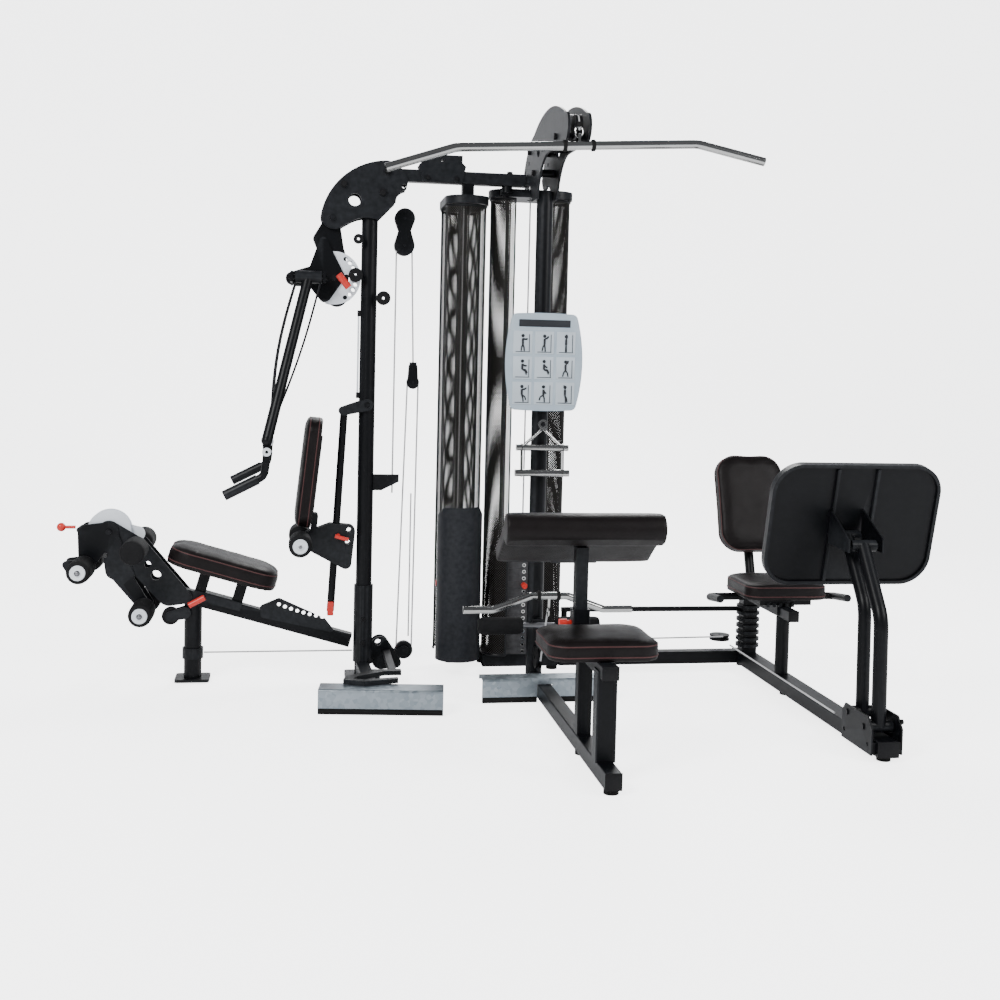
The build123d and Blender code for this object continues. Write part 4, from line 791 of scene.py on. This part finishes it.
def lat_cables():
    """Cable over the lat head, from the lat bar to the lat stack."""
    leave = NOSE - Vector((0, NOSE_R, 0))
    clip = Vector((LAT_X, -0.730, 1.958))
    moving_cable("lat_bar_cable", line(leave, clip, 40))
    over = bmesh.new()
    path = arc(NOSE, NOSE_R, 0, 82, AHEAD_UP) + arc(REAR, REAR_R, 82, 105, AHEAD_UP)
    path += arc(BEHIND, BEHIND_R, 105, 92, AHEAD_UP, 4) + arc(CAP_WHEEL, BEHIND_R, 92, 180, AHEAD_UP)
    path.append(Vector((LAT_X, STACK_Y, LAT_CAP_TOP + 0.004)))
    add_tube(over, path, CABLE_RADIUS, 10)
    finish_piece("lat_top_cable", over, CABLE, "root", 60)


def cap_wheel():
    """Grooved wheel between two cheeks on the lat stack's cap, where the cable turns down to the stack."""
    rim, width, groove = 0.026, 0.018, 0.0065
    wheel = bmesh.new()
    add_lathe(wheel, CAP_WHEEL - X_AXIS * width / 2, X_AXIS,
              [(0, 0.0050), (0, rim), (0.003, rim), (width / 2, rim - groove), (width - 0.003, rim),
               (width, rim), (width, 0.0050)], 40, True)
    finish_piece("cap_wheel", wheel, NYLON, "root")
    cheeks = bmesh.new()
    for side in (-1, 1):
        middle_height = (CAP_WHEEL.z + 0.012 + LAT_CAP_TOP - 0.002) / 2
        add_block(cheeks, Vector((LAT_X + side * 0.0125, CAP_WHEEL.y, middle_height)),
                  Vector((0.004, 0.030, CAP_WHEEL.z + 0.014 - LAT_CAP_TOP)))
    finish_piece("cap_wheel_cheeks", cheeks, BLACK, "root")
    bolt = bmesh.new()
    add_lathe(bolt, CAP_WHEEL - X_AXIS * 0.020, X_AXIS,
              [(0, 0), (0, 0.008), (0.0055, 0.008), (0.0055, 0.0048), (0.0345, 0.0048), (0.0345, 0.008),
               (0.040, 0.008), (0.040, 0)], 6)
    finish_piece("cap_wheel_bolt", bolt, STEEL, "root")


def stack_cables():
    """Cable from each stack's cap down to the head of its plates."""
    for body, cap in (("press_stack", PRESS_CAP_TOP), ("lat_stack", LAT_CAP_TOP)):
        plates = body.replace("stack", "weight_plates")
        x, y = middle(plates).x, middle(plates).y
        top = Vector((x, y, cap))
        foot = Vector((x, y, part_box(plates)[1].z - 0.003))
        moving_cable(body + "_cable", line(top, foot, 60))


BLOCK = Vector((0.134, 0.050, 1.640))
BLOCK_R = 0.034 - GROOVE
LOWER_BLOCK = Vector((0.176, 0.050, 1.124))
LOWER_R = 0.024 - 0.0035
LOW_WHEEL = Vector((0.160, 0.043, 0.096))
LOW_WHEEL_R = 0.0293


def block_cables():
    """Runs between the hanging cable blocks, the press tower's head and the low wheel."""
    runs = bmesh.new()
    clip = (LOWER_BLOCK.x, LOWER_BLOCK.y, 1.196)
    add_tube(runs, line(BLOCK + X_AXIS * BLOCK_R, clip, 4), CABLE_RADIUS, 10)
    add_tube(runs, arc(BLOCK, BLOCK_R, 0, -180, (X_AXIS, UP)), CABLE_RADIUS, 10)
    add_tube(runs, arc(BLOCK + Vector((0, 0, 0.102)), BLOCK_R, 0, 180, (X_AXIS, UP)), CABLE_RADIUS, 10)
    add_tube(runs, arc(LOWER_BLOCK, LOWER_R, 0, -180, (X_AXIS, UP)), CABLE_RADIUS, 10)
    finish_piece("block_wraps", runs, CABLE, "cable_blocks", 60)
    down = BLOCK - X_AXIS * BLOCK_R
    lug = Vector((down.x, down.y, 0.700))
    moving_cable("block_down_cable", line(lug, down, 40))
    for side, label in ((-1, "a"), (1, "b")):
        top = LOWER_BLOCK + X_AXIS * side * LOWER_R
        foot = LOW_WHEEL + X_AXIS * side * LOW_WHEEL_R
        moving_cable("block_low_cable_" + label, line(foot, top, 40))
    wrap = bmesh.new()
    add_tube(wrap, arc(LOW_WHEEL, LOW_WHEEL_R, 180, 360, (X_AXIS, UP)), CABLE_RADIUS, 10)
    finish_piece("low_wheel_wrap", wrap, CABLE, "root", 60)


curl_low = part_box("curl_bar")[0]
LOW_LAT_WHEEL = Vector((LAT_X, LAT_Y - 0.070, 0.130))


def curl_cable():
    """Cable from the low lat wheel to the curl bar."""
    leave = LOW_LAT_WHEEL + Vector((0, -0.040 + GROOVE, 0.0))
    eye = Vector((LAT_X, -0.430, 0.352))
    moving_cable("curl_bar_cable", line(leave, eye, 40))


lat_cables()
cap_wheel()
stack_cables()
block_cables()
curl_cable()


# ------------------------------------------------------------------ clips, stoppers and small steel parts
def add_ring(data, centre, normal, radius, wire, stretch=1.0, sides=10):
    """Closed link of round wire; stretch lengthens it along Z."""
    turn = Vector(normal).normalized().to_track_quat("Z", "Y")
    points = []
    for step in range(28):
        angle = 2 * math.pi * step / 28
        point = turn @ Vector((radius * math.cos(angle), radius * math.sin(angle), 0))
        point.z *= stretch
        points.append(centre + point)
    add_tube(data, points, wire, sides, closed=True)


BAR_TILT = math.radians(3.5)
BAR_TOP = Vector((LAT_X - 0.030 * math.sin(BAR_TILT), -0.730, 1.948))


def add_collar(data, start, axis, inner):
    """Rubber collar, 12 mm wide, round a bar."""
    add_lathe(data, start, axis, [(0, inner), (0, inner + 0.0035), (0.002, inner + 0.005),
                                  (0.010, inner + 0.005), (0.012, inner + 0.0035), (0.012, inner)], 32, True)


def clips():
    """Snap links, a stopper and the rubber collars of the lat bar and the curl bar."""
    link = bmesh.new()
    add_ring(link, BAR_TOP + Vector((0, 0, 0.004)), Y_AXIS, 0.012, 0.0028, 1.5)
    finish_piece("lat_bar_link", link, CHROME, "lat_bar")
    stop = bmesh.new()
    add_lathe(stop, BAR_TOP + Vector((0, 0.0015, 0.020)), UP,
              [(0, 0), (0, 0.008), (0.002, 0.0095), (0.014, 0.0095), (0.016, 0.008), (0.016, 0)], 24)
    finish_piece("lat_bar_stopper", stop, RUBBER, "lat_bar")
    link = bmesh.new()
    add_ring(link, Vector((LAT_X, -0.430, curl_low.z + 0.006)), X_AXIS, 0.011, 0.0028, 1.5)
    finish_piece("curl_bar_link", link, CHROME, "curl_bar")
    rings = bmesh.new()
    bar_axis = Vector((math.cos(BAR_TILT), 0, math.sin(BAR_TILT)))
    for shift in (-0.053, 0.041):
        add_collar(rings, Vector((LAT_X, -0.730, 1.908)) + bar_axis * shift, bar_axis, 0.0140)
    finish_piece("lat_bar_rings", rings, RUBBER, "lat_bar")
    rings = bmesh.new()
    for side in (-1, 1):
        add_collar(rings, Vector((LAT_X + side * 0.035 - 0.006, -0.430, 0.389)), X_AXIS, 0.0130)
    finish_piece("curl_bar_rings", rings, RUBBER, "curl_bar")


clips()


def tower_trim():
    """Pale guide strip with its two brackets on the press tower."""
    strip = bmesh.new()
    add_block(strip, Vector((-0.036, 0, 1.225)), Vector((0.006, 0.020, 0.310)))
    finish_piece("tower_strip", strip, PALE, "root")
    brackets = bmesh.new()
    for z in (1.072, 1.378):
        add_block(brackets, Vector((-0.034, 0, z)), Vector((0.014, 0.026, 0.022)))
    finish_piece("tower_strip_brackets", brackets, NYLON, "root")


tower_trim()


def cam_tail():
    """Short pale cover between the cam discs, fixed to the bracket above the knee axle."""
    cover = bmesh.new()
    outline = []
    for x, z, radius, first, last in ((-0.866, 0.556, 0.032, 95, 265), (-0.832, 0.548, 0.028, -80, 90)):
        angles = [math.radians(first + (last - first) * step / 16) for step in range(17)]
        outline += [(x + radius * math.cos(angle), z + radius * math.sin(angle)) for angle in angles]
    skins = [[cover.verts.new((x, y, z)) for x, z in outline] for y in (-0.006, 0.006)]
    cover.faces.new(skins[0])
    cover.faces.new(skins[1][::-1])
    for index in range(len(outline)):
        after = (index + 1) % len(outline)
        cover.faces.new((skins[0][index], skins[1][index], skins[1][after], skins[0][after]))
    finish_piece("cam_tail_cover", cover, PALE, "root")


cam_tail()


def end_caps():
    """Black plugs in the open ends of the square beams, a hair larger than the beam."""
    caps = bmesh.new()
    leg_x = middle("leg_press_arms").x
    ends = (((LAT_X, -1.3765, 0.040), 0.050, 0.050), ((LAT_X, -1.3115, 0.330), 0.050, 0.040),
            ((leg_x, -0.4015, 0.300), 0.040, 0.040), ((leg_x, -1.1615, 0.040), 0.070, 0.050))
    for centre, width, height in ends:
        add_block(caps, Vector(centre), Vector((width + 0.0006, 0.004, height + 0.0006)), None, 0.0012)
    finish_piece("beam_end_caps", caps, NYLON, "root")


end_caps()


def arm_straps():
    """Thin steel straps beside each press arm and a pale washer pair on its handle pivot."""
    for side, name in ((-1, "left"), (1, "right")):
        straps, washers = bmesh.new(), bmesh.new()
        for start_x, bow in ((-0.272, -0.020), (-0.182, 0.012)):
            start = Vector((start_x, side * 0.105, 1.480))
            end = Vector((-0.342 + bow * 0.4, side * 0.266, 0.985))
            points = [start.lerp(end, step / 12) + X_AXIS * (bow * math.sin(math.pi * step / 12))
                      for step in range(13)]
            add_tube(straps, points, 0.0035, 10)
        finish_piece(name + "_arm_straps", straps, BLACK, name + "_press_arm")
        for face in (-1, 1):
            add_lathe(washers, Vector((-0.362, side * 0.285 + face * 0.010, 0.875)), Y_AXIS * face,
                      [(0, 0.0055), (0, 0.0150), (0.001, 0.0158), (0.003, 0.0150), (0.003, 0.0055)], 28,
                      True)
        finish_piece(name + "_pivot_washers", washers, HUB, name + "_press_handle")


arm_straps()


def plate_edges():
    """Black edging along the foot of each bright foot plate's front face."""
    edging = bmesh.new()
    plates = (((0.045, -0.435), -7, 0.090, ((-0.211, 0.211),)),
              ((LAT_X + 0.005, -0.325), 0, 0.078, ((-0.229, -0.034), (0.024, 0.229))))
    for centre, turn, depth, runs in plates:
        turned = Matrix.Rotation(math.radians(turn), 3, "Z")
        for start, end in runs:
            mid = turned @ Vector(((start + end) / 2, -depth - 0.002, 0)) + Vector((*centre, 0.013))
            add_block(edging, mid, Vector((end - start, 0.006, 0.020)), turned.to_quaternion(), 0.001)
    finish_piece("foot_plate_edging", edging, RUBBER, "root")


plate_edges()


PLATE_PITCH, PLATE_THICK, PLATE_HALF_WIDTH = 0.026, 0.0254, 0.0525


def selector_dots():
    """Bright rims of the selector holes on the front of every plate of the lat stack."""
    front = middle("lat_weight_plates").y - PLATE_HALF_WIDTH - 0.0004
    for body, base, count in (("root", 0.070, 10), ("lat_stack", 0.330, 5)):
        dots = bmesh.new()
        for number in range(count):
            centre = Vector((LAT_X, front, base + PLATE_THICK / 2 + PLATE_PITCH * number))
            add_lathe(dots, centre, -Y_AXIS, [(0, 0.0042), (0, 0.0080), (0.0012, 0.0074), (0.0012, 0.0042)],
                      20, True)
        finish_piece("selector_rims_" + body, dots, CHROME, body)


selector_dots()


# ------------------------------------------------------------------ placard with nine generic figures
PLACARD_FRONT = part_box("exercise_placard")[0].y
PLACARD_MID = middle("exercise_placard")
FIGURES = ((60, 20, -20), (95, 10, -30), (150, 5, -5), (40, 85, 60), (20, 70, 90), (120, 35, -35),
           (80, 60, 20), (10, 15, -60), (170, 30, 10))    # arm and leg angles from straight down


def add_limb(data, start, angle, length, width):
    """Flat limb of a figure; returns its far end."""
    turn = math.radians(angle)
    tip = start + Vector((math.sin(turn), 0, -math.cos(turn))) * length
    add_tube(data, line(start, tip, 1), width, 8)
    return tip


def add_figure(data, front_face, arm, front, back):
    """Figure with a head, a trunk, two bent legs and two bent arms, beside an upright and a floor bar."""
    hip = front_face + Vector((0, 0, -0.006))
    shoulder = hip + Vector((0, 0, 0.020))
    add_lathe(data, shoulder + Vector((0, 0.0006, 0.010)), -Y_AXIS,
              [(0, 0), (0, 0.0062), (0.0012, 0.0062), (0.0012, 0)], 18)
    add_tube(data, line(hip, shoulder, 1), 0.0040, 8)
    for angle in (front, back):
        knee_end = add_limb(data, hip, angle, 0.013, 0.0027)
        add_limb(data, knee_end, angle * 0.3, 0.013, 0.0024)
    for offset in (0, 18):
        elbow = add_limb(data, shoulder, arm + offset, 0.009, 0.0021)
        add_limb(data, elbow, arm + 40, 0.009, 0.0019)
    left, right, top = (front_face + Vector(shift) for shift in
                        ((-0.026, 0, -0.034), (0.026, 0, -0.034), (0.024, 0, 0.030)))
    add_tube(data, line(left, right, 1), 0.0012, 8)
    add_tube(data, line(front_face + Vector((0.024, 0, -0.034)), top, 1), 0.0012, 8)


def placard_tiles():
    """Raised tiles with dark figures under a blank header bar."""
    tiles, figures, header = bmesh.new(), bmesh.new(), bmesh.new()
    for index, angles in enumerate(FIGURES):
        column, row = index % 3 - 1, index // 3
        centre = Vector((PLACARD_MID.x + column * 0.080, PLACARD_FRONT - 0.0006,
                         PLACARD_MID.z + 0.070 - row * 0.092))
        add_block(tiles, centre, Vector((0.070, 0.0024, 0.082)), None, 0.0010)
        add_figure(figures, centre - Vector((0, 0.0016, 0)), *angles)
    finish_piece("placard_tiles", tiles, TILE, "root")
    finish_piece("placard_figures", figures, INK, "root")
    bar = Vector((PLACARD_MID.x, PLACARD_FRONT - 0.0004, PLACARD_MID.z + 0.140))
    add_block(header, bar, Vector((0.190, 0.0024, 0.026)), None, 0.001)
    finish_piece("placard_header", header, INK, "root")


placard_tiles()


# ------------------------------------------------------------------ studio
def camera():
    """Camera at the viewing angle of the picture."""
    yaw, pitch, roll = (math.radians(angle) for angle in (9.0, -2.9, 1.3))
    forward = Vector((math.sin(yaw) * math.cos(pitch), math.cos(yaw) * math.cos(pitch), math.sin(pitch)))
    level = Vector((math.cos(yaw), -math.sin(yaw), 0))
    upright = level.cross(forward)
    right = level * math.cos(roll) + upright * math.sin(roll)
    up = upright * math.cos(roll) - level * math.sin(roll)
    lens = bpy.data.cameras.new("camera")
    lens.sensor_width, lens.lens = 36, 45
    lens.shift_x, lens.shift_y = 0.01, -0.07
    eye = bpy.data.objects.new("camera", lens)
    bpy.context.scene.collection.objects.link(eye)
    turn = Matrix((right, up, -forward)).transposed().to_4x4()
    eye.matrix_world = Matrix.Translation((-0.275, -4.71, 1.19)) @ turn
    bpy.context.scene.camera = eye
    return eye


def floor():
    """Plain pale floor that curves up behind the gym."""
    data = bmesh.new()
    profile = [(-9, 0)] + [(3.2 + 1.8 * math.sin(angle), 1.8 - 1.8 * math.cos(angle))
                           for angle in (math.radians(6 * step) for step in range(16))] + [(5.0, 7)]
    rows = [[data.verts.new((x, y, z - 0.0006)) for x in (-12, 12)] for y, z in profile]
    for before, after in zip(rows, rows[1:]):
        data.faces.new((before[0], before[1], after[1], after[0]))
    mesh = bpy.data.meshes.new("floor")
    data.to_mesh(mesh)
    data.free()
    mesh.shade_smooth()
    material, tree, shader = node_material("floor", (0.90, 0.90, 0.90), 0.75)
    shader.inputs["Emission Color"].default_value = (1, 1, 1, 1)
    path = tree.nodes.new("ShaderNodeLightPath")            # the glow is only there for the camera
    tree.links.new(remap(tree, path.outputs["Is Camera Ray"], 0.0, 3.2), shader.inputs["Emission Strength"])
    space = object_coords(tree)
    tint = ramp(tree, noise(tree, space, 1.5, 4), 0.3, 0.7, (0.90, 0.90, 0.905), (0.94, 0.94, 0.94))
    tree.links.new(tint, shader.inputs["Base Color"])
    mesh.materials.append(material)
    ground = bpy.data.objects.new("floor", mesh)
    bpy.context.scene.collection.objects.link(ground)
    return ground


def lamp(name, place, target, power, size):
    """Soft area light aimed at a point."""
    light = bpy.data.lights.new(name, "AREA")
    light.energy, light.size = power, size
    lamp_object = bpy.data.objects.new(name, light)
    lamp_object.location = place
    aim = (Vector(target) - Vector(place)).to_track_quat("-Z", "Y")
    lamp_object.rotation_euler = aim.to_euler()
    bpy.context.scene.collection.objects.link(lamp_object)
    return lamp_object


def world():
    """Even pale surroundings."""
    sky = bpy.data.worlds.new("sky")
    bpy.context.scene.world = sky
    sky.use_nodes = True
    background = sky.node_tree.nodes["Background"]
    background.inputs["Color"].default_value = (0.92, 0.95, 1.0, 1)
    path = sky.node_tree.nodes.new("ShaderNodeLightPath")
    dimmed = sky.node_tree.nodes.new("ShaderNodeMapRange")
    dimmed.inputs["To Min"].default_value = 0.75            # light on the scene
    dimmed.inputs["To Max"].default_value = 0.16            # what shiny black parts mirror
    sky.node_tree.links.new(path.outputs["Is Glossy Ray"], dimmed.inputs["Value"])
    sky.node_tree.links.new(dimmed.outputs["Result"], background.inputs["Strength"])


camera()
floor()
lamp("key", (-3.0, -4.0, 4.2), (0.3, 0, 0.9), 300, 1.8)
lamp("fill", (4.2, -3.6, 3.0), (0.6, 0, 0.9), 130, 2.0)
lamp("rim", (1.6, 3.2, 3.6), (0.4, 0, 1.0), 170, 2.0)
world()
